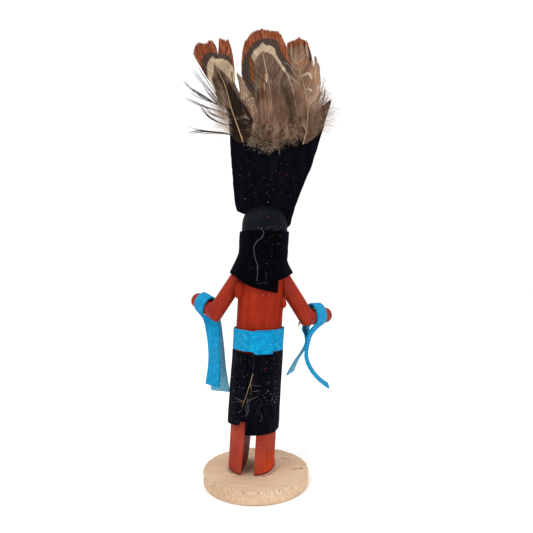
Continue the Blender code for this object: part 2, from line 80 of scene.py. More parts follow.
def seen(x, z, depth):
    """The place at a depth that covers the millimetre spot (x, z) of the doll's middle plane."""
    spot = Vector((x * MM, 0, z * MM)) - CAMERA
    return CAMERA + spot * ((depth - CAMERA.y) / -CAMERA.y)


def colour(red, green, blue):
    """A colour as a screen shows it, 0 to 255, made linear."""
    parts = []
    for part in (red, green, blue):
        part /= 255
        parts.append(part / 12.92 if part < 0.04045 else ((part + 0.055) / 1.055) ** 2.4)
    return (*parts, 1)


class Value:
    """A socket whose numbers can be used in Python expressions."""

    def __init__(self, finish, socket):
        self.finish = finish
        self.socket = socket

    def maths(self, operation, other, clamp=False):
        return self.finish.node(
            "ShaderNodeMath", {"operation": operation, "use_clamp": clamp}, {0: self, 1: other})

    def __add__(self, other):
        return self.maths("ADD", other)

    def __sub__(self, other):
        return self.maths("SUBTRACT", other)

    def __mul__(self, other):
        return self.maths("MULTIPLY", other)

    def clamped(self):
        return self.maths("ADD", 0.0, True)

    def step(self, low, high):
        """0 below low, 1 above high, soft between."""
        return self.finish.node(
            "ShaderNodeMapRange", {"interpolation_type": "SMOOTHSTEP"},
            {0: self, 1: low, 2: high, 3: 0.0, 4: 1.0})


class Finish:
    """One material: a Principled shader and the nodes that feed it."""

    def __init__(self, name, fixed):
        self.material = bpy.data.materials.new(name)
        self.material.use_nodes = True
        self.tree = self.material.node_tree
        self.shader = self.tree.nodes["Principled BSDF"]
        for socket, value in fixed.items():
            self.shader.inputs[socket].default_value = value

    def node(self, kind, settings, sockets, out=0):
        """Add a node, set it, then fill its sockets with values or links."""
        made = self.tree.nodes.new(kind)
        for key, value in settings.items():
            setattr(made, key, value)
        for key, value in sockets.items():
            if isinstance(value, Value):
                self.tree.links.new(value.socket, made.inputs[key])
            else:
                made.inputs[key].default_value = value
        return Value(self, made.outputs[out])

    def give(self, socket, value):
        """Feed one of the shader's sockets."""
        self.tree.links.new(value.socket, self.shader.inputs[socket])

    def axis(self, letter):
        """One of the Object coordinates."""
        spot = self.node("ShaderNodeTexCoord", {}, {}, "Object")
        return self.node("ShaderNodeSeparateXYZ", {}, {0: spot}, letter)

    def noise(self, scale, detail, rough, warp=0.0, turn=(0, 0, 0)):
        """Noise in Object coordinates, turned and then scaled."""
        spot = self.node("ShaderNodeTexCoord", {}, {}, "Object")
        turned = self.node("ShaderNodeMapping", {}, {"Vector": spot, "Rotation": turn})
        scaled = self.node("ShaderNodeMapping", {}, {"Vector": turned, "Scale": scale})
        return self.node("ShaderNodeTexNoise", {}, {
            "Vector": scaled, "Scale": 1.0, "Detail": detail, "Roughness": rough,
            "Distortion": warp})

    def mark(self, name):
        """A number that the mesh carries."""
        return self.node("ShaderNodeAttribute", {"attribute_name": name}, {}, "Fac")

    def ramp(self, value, *stops):
        """Colours along a value. A stop is its place and its colour as a screen shows it."""
        made = self.node("ShaderNodeValToRGB", {}, {0: value})
        elements = made.socket.node.color_ramp.elements
        while len(elements) < len(stops):
            elements.new(1.0)
        for element, (place, *tone) in zip(elements, stops):
            element.position = place
            element.color = colour(*tone)
        return made

    def blend(self, share, a, b):
        return self.node("ShaderNodeMix", {"data_type": "RGBA"}, {0: share, 6: a, 7: b}, 2)

    def shaded(self, tone, value):
        """A colour made darker by a number from 0 to 1 and lighter above."""
        return self.node("ShaderNodeVectorMath", {"operation": "SCALE"}, {0: tone, 3: value})

    def bump(self, value, height, strength=1.0):
        self.give("Normal", self.node(
            "ShaderNodeBump", {},
            {"Strength": strength, "Distance": height, "Height": value}, "Normal"))


def only(piece):
    bpy.ops.object.select_all(action="DESELECT")
    piece.select_set(True)
    bpy.context.view_layer.objects.active = piece


def modify(piece, kind, **settings):
    """Add a modifier and apply it."""
    only(piece)
    made = piece.modifiers.new(kind.lower(), kind)
    for key, value in settings.items():
        setattr(made, key, value)
    bpy.ops.object.modifier_apply(modifier=made.name)


def finished(piece, name, finish, slot, *replaced):
    """Name a piece, give it its material and fix it to the doll."""
    piece.name = name
    piece.data.name = name
    piece.data.materials.clear()
    piece.data.materials.append(finish.material)
    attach(piece, "root")
    if replaced:
        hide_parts(*replaced)
    return piece


def make_camera():
    data = bpy.data.cameras.new("photograph_camera")
    data.sensor_width = SENSOR
    data.lens = SENSOR * LENS_IN_FRAMES
    data.clip_start = 0.01
    camera = bpy.data.objects.new("photograph_camera", data)
    camera.location = CAMERA
    camera.rotation_euler = (math.pi / 2, 0, 0)
    bpy.context.scene.collection.objects.link(camera)
    bpy.context.scene.camera = camera


def make_light(name, place, aim, size, power):
    data = bpy.data.lights.new(name, "AREA")
    data.shape = "DISK"
    data.size = size
    data.energy = power
    lamp = bpy.data.objects.new(name, data)
    lamp.location = place
    lamp.rotation_euler = (Vector(aim) - Vector(place)).to_track_quat("-Z", "Y").to_euler()
    bpy.context.scene.collection.objects.link(lamp)


def make_studio():
    """White surroundings, a pale floor and soft lamps."""
    bpy.context.scene.view_settings.view_transform = "Standard"
    world = bpy.data.worlds.new("white_room")
    world.use_nodes = True
    sky = world.node_tree.nodes["Background"]
    sky.inputs["Color"].default_value = (1, 1, 1, 1)
    sky.inputs["Strength"].default_value = 1.06
    bpy.context.scene.world = world

    paint = Finish("pale_floor", {"Base Color": (0.95, 0.95, 0.95, 1), "Roughness": 0.9})
    bpy.ops.mesh.primitive_plane_add(size=6, location=(0, 0, -0.00004))
    floor = bpy.context.object
    floor.name = "floor"
    floor.data.materials.append(paint.material)

    make_light("key_lamp", (-0.25, -0.35, 0.75), (0, 0, 0.08), 0.30, 2.6)
    make_light("right_lamp", (0.45, -0.50, 0.25), (0, 0, 0.10), 0.25, 1.2)


# Materials

def raw_wood():
    made = Finish("raw_wood", {"Specular IOR Level": 0.12})
    along = made.noise((70, 1000, 1000), 5, 0.6)
    speckle = made.noise((900, 1100, 1100), 3, 0.6)
    broad = made.noise((40, 110, 110), 3, 0.5)
    specks = made.noise((700, 2600, 2600), 2, 0.5).step(0.68, 0.80)
    tone = made.ramp(
        along * 0.35 + speckle * 0.35 + broad * 0.3,
        (0.30, 158, 126, 98), (0.45, 188, 158, 129), (0.58, 203, 176, 149), (0.75, 219, 198, 175))
    made.give("Base Color", made.blend(specks * 0.55, tone, colour(140, 106, 78)))
    made.give("Roughness", along * 0.2 + 0.72)
    made.bump(along + speckle, 0.00014, 0.6)
    return made


# Heights: the black paint's lower edge, where the legs grow pale, and the foot's bright paint
BLACK_FROM, BLACK_FULL = 0.1165, 0.1170
PALE_LEGS = 0.036
BRIGHT_FOOT = 0.0185


def red_paint(name, turn, whole=False):
    """Brushed brick red paint on dowel, with the grain along its length. The whole body has
    a black head, paler legs and a brighter foot."""
    made = Finish(name, {"Specular IOR Level": 0.05 if whole else 0.12})
    grain = made.noise((1500, 1500, 55), 5, 0.6, turn=turn)
    strokes = made.noise((420, 420, 45), 3, 0.5, turn=turn)
    blotch = made.noise((160, 160, 110), 3, 0.5, turn=turn)
    speckle = made.noise((1200, 1200, 700), 4, 0.65, turn=turn)
    worn = speckle.step(0.68, 0.78)
    tone = made.ramp(
        strokes * 0.4 + blotch * 0.4 + speckle * 0.2,
        (0.30, 104, 22, 8), (0.46, 126, 30, 12), (0.58, 138, 37, 17), (0.74, 154, 52, 30))
    tone = made.blend(worn * 0.4, tone, colour(186, 104, 84))
    if whole:
        slate = made.ramp(
            blotch * 0.5 + speckle * 0.5,
            (0.35, 2, 3, 7), (0.52, 7, 10, 17), (0.70, 17, 20, 28))
        height = made.axis("Z")
        tone = made.blend(height.step(BLACK_FROM, BLACK_FULL), tone, slate)
        leg = ((height * -1 + PALE_LEGS) * 200).clamped()
        tone = made.blend(leg * (blotch * 0.16 + 0.02), tone, colour(206, 122, 104))
        foot = ((height * -1 + BRIGHT_FOOT) * 130).clamped()
        right = made.axis("X").step(-0.001, 0.007)
        tone = made.blend(foot * right * strokes.step(0.38, 0.62), tone, colour(188, 60, 11))
    made.give("Base Color", tone)
    made.give("Roughness", grain * 0.25 + 0.45)
    made.bump(grain + strokes * 0.6 + speckle * 0.4, 0.00010, 0.5)
    return made


def black_felt(name, depth):
    """Black felt. depth scales its colour; the collar's copy is darker than the one for the board and
    the kilt.
    """
    made = Finish(name, {
        "Roughness": 1.0, "Specular IOR Level": 0.03, "Sheen Weight": 0.03 * depth,
        "Sheen Roughness": 0.5, "Sheen Tint": (0.55, 0.6, 1.0, 1)})
    fibre = made.noise((2600, 2600, 2600), 4, 0.65, 1.5)
    soft = made.noise((420, 420, 90), 3, 0.5)
    tone = made.ramp(fibre * 0.55 + soft * 0.45, (0.32, 1, 1, 3), (0.52, 7, 6, 12), (0.72, 22, 21, 33))
    made.give("Base Color", made.shaded(tone, depth))
    made.bump(fibre + soft, 0.00020, 0.7)
    return made


def turquoise_suede():
    made = Finish("turquoise_suede", {
        "Roughness": 0.95, "Specular IOR Level": 0.05, "Sheen Weight": 0.03,
        "Sheen Roughness": 0.6})
    nap = made.noise((1500, 1500, 1500), 4, 0.8, 0.8)
    soft = made.noise((500, 500, 500), 3, 0.6)
    tone = made.ramp(
        nap * 0.6 + soft * 0.4,
        (0.34, 0, 84, 128), (0.46, 0, 120, 164), (0.56, 2, 138, 184), (0.70, 40, 170, 206))
    fleck = made.noise((1300, 1300, 1300), 2, 0.5).step(0.66, 0.76)
    tone = made.blend(fleck * 0.5, tone, colour(150, 205, 222))
    worn = made.ramp(nap, (0.36, 64, 134, 160), (0.60, 140, 196, 212))
    tone = made.blend(made.mark("faded"), tone, worn)
    made.give("Base Color", tone)
    made.bump(nap + soft * 0.5, 0.00020, 0.7)
    return made


def feather_vane():
    """Bands where the mesh says how many millimetres inside each a spot is, then marks."""
    made = Finish("pheasant_vane", {"Specular IOR Level": 0.1, "Roughness": 0.62})
    barb = made.mark("barb")
    streak = made.noise((1400, 1400, 260), 3, 0.6)
    jitter = (streak - 0.5) * 0.9 + (barb - 0.5) * 0.35

    def within(band):
        return ((made.mark(band) + jitter) * 2.2 + 0.5).clamped()

    def painted(mark, edge=3.0):
        return ((made.mark(mark) + (streak - 0.5) * 0.8) * edge).clamped()

    soft = made.noise((300, 300, 90), 3, 0.5)
    copper = made.ramp(streak, (0.30, 112, 44, 22), (0.50, 152, 80, 48), (0.70, 182, 116, 86))
    tone = made.ramp(
        streak * 0.5 + soft * 0.5,
        (0.34, 86, 66, 54), (0.50, 118, 94, 78), (0.66, 152, 126, 104))
    down = made.ramp(soft, (0.30, 130, 96, 76), (0.52, 166, 130, 106), (0.72, 198, 164, 140))
    tone = made.blend(made.mark("down"), tone, down)
    cream = made.blend(within("in_field"), colour(203, 178, 148), tone)
    dark = made.blend(within("in_cream"), colour(82, 66, 58), cream)
    tone = made.blend(within("in_dark"), copper, dark)
    flecks = made.noise((1100, 1100, 700), 2, 0.5, turn=(0, 0.55, 0)).step(0.50, 0.58)
    tone = made.blend(made.mark("mottle") * flecks, tone, colour(186, 164, 134))
    tone = made.blend(painted("dark", 1.3), tone, colour(42, 29, 23))
    tone = made.blend(painted("copper"), tone, colour(146, 78, 42))
    tone = made.blend(painted("tan", 1.4), tone, colour(176, 124, 86))
    tone = made.blend(painted("cream", 2.0), tone, colour(206, 186, 160))
    made.give("Base Color", made.shaded(tone, barb * 0.44 + 0.46))
    return made


def plain(name, tone, rough, fixed=None):
    return Finish(name, {"Base Color": tone, "Roughness": rough, **(fixed or {})})


# Wrapped and hanging cloth

def cloth(name, columns, rows, place, thick, faded=None):
    """A flat sheet whose every point is carried to its place, then given its thickness."""
    bpy.ops.object.select_all(action="DESELECT")
    bpy.ops.mesh.primitive_grid_add(x_subdivisions=columns, y_subdivisions=rows, size=1)
    piece = bpy.context.object
    if faded:
        layer = piece.data.attributes.new("faded", "FLOAT", "POINT")
        layer.data.foreach_set(
            "value", [faded(v.co.x + 0.5, v.co.y + 0.5) for v in piece.data.vertices])
    for vert in piece.data.vertices:
        vert.co = place(vert.co.x + 0.5, vert.co.y + 0.5)
    piece.data.update()
    modify(piece, "SOLIDIFY", thickness=thick, offset=0)
    only(piece)
    bpy.ops.object.shade_smooth_by_angle(angle=math.radians(50))
    return piece


def around(angle, radius, height):
    """A place round the leaning body."""
    return body_axis(height) + Vector((radius * math.cos(angle), radius * math.sin(angle), 0))


def wrapped(start, turns, thick, loose, edges, stand_off=None, waves=0.0):
    """How a strip lies round the body: outer end at start, inner end tucked beneath."""
    rise = math.radians(40)
    overlap = abs(turns) - 2 * math.pi

    def place(u, v):
        angle = start + turns * u
        layer = ease(1 - (u * abs(turns) - overlap) / rise)
        radius = BODY_RADIUS + loose + thick / 2 + (thick + CLOTH_GAP) * layer
        top, hem = edges(u, angle)
        height = hem + (top - hem) * v
        if stand_off:
            radius += stand_off(angle, height)
        ripple = noise.noise(Vector((u * 40, v * 6, start))) * waves
        return around(angle, radius + ripple, height)

    return place


BELT_HEIGHT = 0.0694
BELT_END = math.radians(303)
BELT_TURNS = -math.radians(400)


def belt_sag(angle):
    """How far the belt's upper edge is down, most at its loose end."""
    apart = abs(math.remainder(angle - BELT_END, 2 * math.pi))
    return 0.7 * MM * ease(1 - apart / math.radians(80))


def belt_edges(u, angle):
    """Its upper edge dips to the loose end, where a second layer peeks out below."""
    sag = belt_sag(angle) if u < 0.5 else 0
    past = math.degrees(math.remainder(angle - BELT_END, 2 * math.pi))
    peek = ease((44 - abs(past)) / 8) if u < 0.5 else 0
    raised = 0.6 - 0.5 * ease(past / 15) * ease((110 - past) / 30)
    lower = BELT_HEIGHT - STRIP_WIDTH / 2 + (raised - 1.2 * peek) * MM
    return BELT_HEIGHT - sag + STRIP_WIDTH / 2, lower


def make_belt(suede):
    place = wrapped(BELT_END, BELT_TURNS, STRIP_THICK, 0.4 * MM, belt_edges, None, 0.0001)
    belt = cloth("belt_strip", 220, 14, place, STRIP_THICK)
    finished(belt, "belt_strip", suede, "turquoise_suede", "belt")


KILT_HEM = 0.0305
KILT_FLAP_HEM = 0.0264
KILT_TURNS = math.radians(408)


def kilt_edges(u, angle):
    """The hem is lowest at the outer flap, with a short raised stretch near the inner end."""
    past = math.remainder(angle - BELT_END, 2 * math.pi)
    top = BELT_HEIGHT - STRIP_WIDTH / 2 - 0.3 * MM
    top -= belt_sag(angle) * ease(0.5 - past / math.radians(4))
    hem = KILT_HEM + (KILT_FLAP_HEM - KILT_HEM) * ease((0.93 - u) / 0.5)
    hem += 1.8 * MM * ease((u - 0.835) / 0.012) * ease((0.895 - u) / 0.012)
    return top, hem


def kilt_stand_off(angle, height):
    """The left side hangs a little away from the body."""
    top = BELT_HEIGHT - STRIP_WIDTH / 2
    down = (top - height) / (top - KILT_FLAP_HEM)
    return 0.35 * MM * ease(down * 1.6) * (0.5 - 0.5 * math.cos(angle)) ** 2


def make_kilt(felt):
    place = wrapped(math.radians(254), KILT_TURNS, FELT, 0.5 * MM, kilt_edges,
                    kilt_stand_off, 0.00018)
    kilt = cloth("kilt_wrap", 240, 60, place, FELT)
    finished(kilt, "kilt_wrap", felt, "black_felt", "kilt")


COLLAR_TOP = 0.1210
COLLAR_END = math.radians(305)
COLLAR_TURNS = -math.radians(400)
SHOULDER_HEM = 0.1012
BACK_HEM, FRONT_HEM = 0.0965, 0.0970
LOOSE_END_HEM = 0.0917


def collar_edges(u, angle):
    """The hem is highest over the shoulders and lowest at the loose end."""
    side = abs(math.cos(angle)) ** 3
    middle = BACK_HEM if math.sin(angle) < 0 else FRONT_HEM
    hem = middle + (SHOULDER_HEM - middle) * side
    hem += (LOOSE_END_HEM - hem) * max(0.0, 1 - u * 4.4)
    return COLLAR_TOP, hem


def collar_stand_off(angle, height):
    """Each side flares out over its shoulder, from a height down to the hem there."""
    top, flare = (0.1070, 3.1 * MM) if math.cos(angle) > 0 else (0.1110, 3.9 * MM)
    down = (top - height) / (top - SHOULDER_HEM)
    down = max(0.0, down) ** 1.15 if down < 1 else 1.0
    return flare * down * math.cos(angle) ** 2


def make_collar(felt):
    place = wrapped(COLLAR_END, COLLAR_TURNS, FELT, 0.2 * MM, collar_edges,
                    collar_stand_off, 0.00018)
    collar = cloth("collar_wrap", 240, 50, place, FELT)
    finished(collar, "collar_wrap", felt, "black_felt", "collar")


# Arms

ARM_RADIUS = 0.00397
FOREARM_LENGTH = 0.0233
RIBBON_GAP = 0.0003


def elbow(side):
    """Where an arm bends. side is -1 for the photograph's left and 1 for its right."""
    if side < 0:
        return body_axis(0.0819) - Vector((0.0216, 0, 0))
    return body_axis(0.0793) + Vector((0.0229, 0, 0))


def shoulder(side):
    return body_axis(0.1068) + Vector((side * (0.0065 if side < 0 else 0.0043), 0, 0))


def forearm_aim(side):
    """The way a forearm points: out and forward, and the left one up too."""
    if side < 0:
        return Vector((-0.50, 0.86, 0.195)).normalized()
    return Vector((0.50, 0.865, -0.035)).normalized()


def curve_through(points, steps):
    """A smooth curve through points."""
    made = []
    last = len(points) - 1
    for k in range(last):
        before, a = points[max(k - 1, 0)], points[k]
        b, after = points[k + 1], points[min(k + 2, last)]
        for s in range(steps):
            t = s / steps
            made.append(0.5 * (
                2 * a + (b - before) * t + (2 * before - 5 * a + 4 * b - after) * t ** 2
                + (3 * a - before - 3 * b + after) * t ** 3))
    made.append(points[-1].copy())
    return made


def sample(points, share):
    """The point at a share of a list of evenly spaced points."""
    at = min(max(share, 0.0), 1.0) * (len(points) - 1)
    k = min(int(at), len(points) - 2)
    return points[k] + (points[k + 1] - points[k]) * (at - k)


# Ribbon tails, in millimetres from the loop's end, and the width's direction there
TAILS_LEFT = (
    [((4.6, -1.8, -3.1), (-0.70, 0.71, 0.08)), ((6.4, -3.2, -7.7), (-0.72, 0.69, 0)),
     ((6.9, -4.2, -15.3), (-0.58, 0.81, 0)), ((7.4, -4.6, -23.3), (-0.6, 0.8, 0)),
     ((7.0, -4.6, -30.3), (-0.66, 0.75, 0)), ((6.3, -4.4, -35.4), (-0.70, 0.71, 0))],
    [((1.4, 0.3, -4.5), (-0.52, 0.85, 0.1)), ((2.0, 0.1, -12.0), (-0.6, 0.8, 0)),
     ((2.2, -0.1, -20.0), (-0.72, 0.69, 0)), ((2.4, -0.3, -30.0), (-0.87, 0.5, 0)),
     ((3.8, -0.5, -41.0), (-0.95, 0.32, 0))],
)
TAILS_RIGHT = (
    [((-2.6, -0.4, -2.3), (0.46, 0.89, 0)), ((-5.1, -0.5, -6.1), (0.32, 0.95, 0)),
     ((-6.3, -0.5, -10.9), (0.25, 0.97, 0)), ((-6.8, -0.5, -16.3), (0.2, 0.98, 0)),
     ((-5.3, -0.5, -21.1), (0.14, 0.98, 0)), ((-2.3, -0.5, -25.6), (0.09, 0.99, 0)),
     ((1.1, -0.5, -28.9), (0.05, 1.0, 0)), ((4.1, -0.5, -30.9), (0.05, 1.0, 0))],
    [((-1.6, -0.4, -3.4), (0.4, 0.92, 0)), ((-1.0, -0.5, -6.3), (0.3, 0.95, 0)),
     ((-0.8, -0.3, -9.9), (0.26, 0.96, 0)), ((-2.4, -0.1, -13.9), (0.28, 0.96, 0)),
     ((-6.5, 0.3, -20.2), (0.30, 0.95, 0)), ((-9.6, 0.5, -26.6), (0.38, 0.92, 0))],
)


def ribbon_route(side, outer_tail, inner_tail):
    """Up from one tail, over the forearm and down, with the width's direction."""
    aim = forearm_aim(side)
    share, slack = (0.47, 1.0 * MM) if side < 0 else (0.42, 1.8 * MM)
    centre = elbow(side) + aim * FOREARM_LENGTH * share
    inward = aim.cross(Vector((0, 0, 1))).normalized() * -side
    up = inward.cross(aim).normalized() * -side
    radius = ARM_RADIUS + RIBBON_GAP + STRIP_THICK / 2
    loop = []
    for degrees in range(225, -36, -26):
        turn = math.radians(degrees)
        lift = radius + slack * max(0.0, math.sin(turn))
        skew = aim * (1.5 if side > 0 else 0.6) * MM * math.cos(turn)
        spot = centre + inward * radius * math.cos(turn) + up * lift * math.sin(turn) + skew
        loop.append((spot, aim))
    start, end = loop[0][0], loop[-1][0]
    head = [(start + Vector(p) * MM, Vector(w)) for p, w in reversed(outer_tail)]
    foot = [(end + Vector(p) * MM, Vector(w)) for p, w in inner_tail]
    return head + loop + foot


def make_ribbon(side, name, tails, node, suede):
    """A strip over a forearm with both tails hanging, faded towards one end."""
    route = ribbon_route(side, *tails)
    middle = curve_through([p for p, _ in route], 8)
    across = curve_through([w for _, w in route], 8)
    length = sum((b - a).length for a, b in zip(middle, middle[1:]))

    def faded(u, v):
        tail = u if side < 0 else 1 - abs(u - 0.95) * 4
        return ease((tail - 0.55) / 0.30) * 0.85 * (1 if side < 0 else 0.7)

    def place(u, v):
        wide = sample(across, u).normalized()
        ripple = noise.noise(Vector((u * 9, v * 1.5, side))) * 0.12 * MM
        run = sample(middle, min(u + 0.005, 1)) - sample(middle, max(u - 0.005, 0))
        out = run.cross(wide).normalized()
        return sample(middle, u) + wide * STRIP_WIDTH * (v - 0.5) + out * ripple

    ribbon = cloth(name, 200, 12, place, STRIP_THICK, faded)
    finished(ribbon, name, suede, "turquoise_suede", node)


# Feathers and other thin strands

def straw(cuts):
    """A three-sided straw cut into even lengths: its corners, their level and its faces."""
    bpy.ops.object.select_all(action="DESELECT")
    bpy.ops.mesh.primitive_cylinder_add(vertices=3, radius=1, depth=1)
    made = bpy.context.object
    mesh = made.data
    bpy.ops.object.mode_set(mode="EDIT")
    bpy.ops.mesh.select_all(action="DESELECT")
    bpy.ops.object.mode_set(mode="OBJECT")
    for edge in mesh.edges:
        a, b = (mesh.vertices[i].co for i in edge.vertices)
        edge.select = abs(a.z - b.z) > 0.5
    bpy.context.tool_settings.mesh_select_mode = (False, True, False)
    bpy.ops.object.mode_set(mode="EDIT")
    bpy.ops.mesh.subdivide(number_cuts=cuts)
    bpy.ops.object.mode_set(mode="OBJECT")
    corners = np.array([v.co for v in mesh.vertices])
    level = np.rint((corners[:, 2] + 0.5) * (cuts + 1)).astype(int)
    faces = [tuple(p.vertices) for p in mesh.polygons]
    bpy.data.objects.remove(made)
    return corners[:, :2], level, faces


def strands(name, runs, marks=(), cuts=7):
    """Many straws as one piece. Each run holds its points, half widths, half depths, the
    direction that its face looks in, and its marks."""
    corners, level, faces = straw(cuts)
    spots, sides, held = [], [], {mark: [] for mark in marks}
    for run in runs:
        points, wide, deep, facing, values = run
        start = len(spots)
        rings = []
        for k, here in enumerate(points):
            ahead = points[min(k + 1, len(points) - 1)] - points[max(k - 1, 0)]
            across = ahead.cross(facing)
            across = across.normalized() if across.length > 1e-9 else Vector((1, 0, 0))
            out = across.cross(ahead).normalized()
            rings.append((here, across * wide[k], out * deep[k]))
        for (x, y), k in zip(corners, level):
            here, across, out = rings[k]
            spots.append(here + across * x + out * y)
            for mark in marks:
                held[mark].append(values[mark][k])
        sides += [tuple(start + i for i in face) for face in faces]
    mesh = bpy.data.meshes.new(name)
    mesh.from_pydata([tuple(p) for p in spots], [], sides)
    for mark in marks:
        layer = mesh.attributes.new(mark, "FLOAT", "POINT")
        layer.data.foreach_set("value", held[mark])
    mesh.validate()
    mesh.shade_smooth()
    piece = bpy.data.objects.new(name, mesh)
    bpy.context.scene.collection.objects.link(piece)
    return piece


# The board's half thickness and, in millimetres too, a feather's gap to it and a layer's step
BOARD_HALF, FEATHER_GAP, LAYER_STEP = 1.5, 0.65, 1.1
# The height of the feathers' feet, and how far above the head's top they lean out
FEATHER_FEET, LEAN_FROM = 0.163, 0.040


def feather_depth(layer, height):
    """The depth of a feather's plane: stacked on the board, leaning out above it."""
    stacked = 0.15 + 0.85 * ease((height - FEATHER_FEET) / 0.022)
    near = -(BOARD_HALF + FEATHER_GAP + LAYER_STEP * layer * stacked) * MM
    climb = max(0.0, height - HEAD_TOP.z - LEAN_FROM) / LEAN_FROM
    return near - 2 * MM * climb * climb


# The way the doll's back looks, and the cross-sections of each kind of strand
BACK = Vector((0, -1, 0))
BARB_LEVELS = 19
FLUFF_LEVELS = 9
SHAFT_LEVELS = 16
# In millimetres: how far a barb's fine tip and a web strip's reach, and a web strip's half width
BARB_TIP, WEB_TIP, WEB_WIDE = 1.2, 1.0, 0.60
BANDS = ("in_dark", "in_cream", "in_field")
PAINTS = ("dark", "copper", "tan", "cream")
MARKS = (*BANDS, "barb", "mottle", "down", *PAINTS)


def smooth_line(spots, steps=6):
    """A curve through flat spots, as an array."""
    curve = curve_through([Vector((x, z)) for x, z in spots], steps)
    return np.array([tuple(p) for p in curve])


def scatter(spread):
    """A random shift of a flat spot."""
    return np.array([random.gauss(0, spread), random.gauss(0, spread)])


def nearest(points, line):
    """Each point's distance from a line, and the share along it of the nearest place."""
    a, b = line[:-1], line[1:]
    run = b - a
    square = np.maximum((run ** 2).sum(1), 1e-12)
    share = ((points[:, None] - a) * run).sum(2) / square
    share = np.clip(share, 0, 1)
    apart = np.linalg.norm(points[:, None] - (a + share[..., None] * run), axis=2)
    which = apart.argmin(1)
    rows = np.arange(len(points))
    return apart[rows, which], (which + share[rows, which]) / len(a)


def under(points, line):
    """How far each point is below a line that runs left to right, negative above it."""
    apart, _ = nearest(points, line)
    foot = np.array([(line[-1, 0], line[-1, 1] - 99), (line[0, 0], line[0, 1] - 99)])
    a = np.vstack([line, foot])
    b = np.roll(a, -1, axis=0)
    x, z = points[:, :1], points[:, 1:]
    spans = (a[:, 1] > z) != (b[:, 1] > z)
    rise = np.where(b[:, 1] == a[:, 1], 1e-9, b[:, 1] - a[:, 1])
    crossed = spans & (x < a[:, 0] + (z - a[:, 1]) / rise * (b[:, 0] - a[:, 0]))
    return np.where(crossed.sum(1) % 2 == 1, apart, -apart)


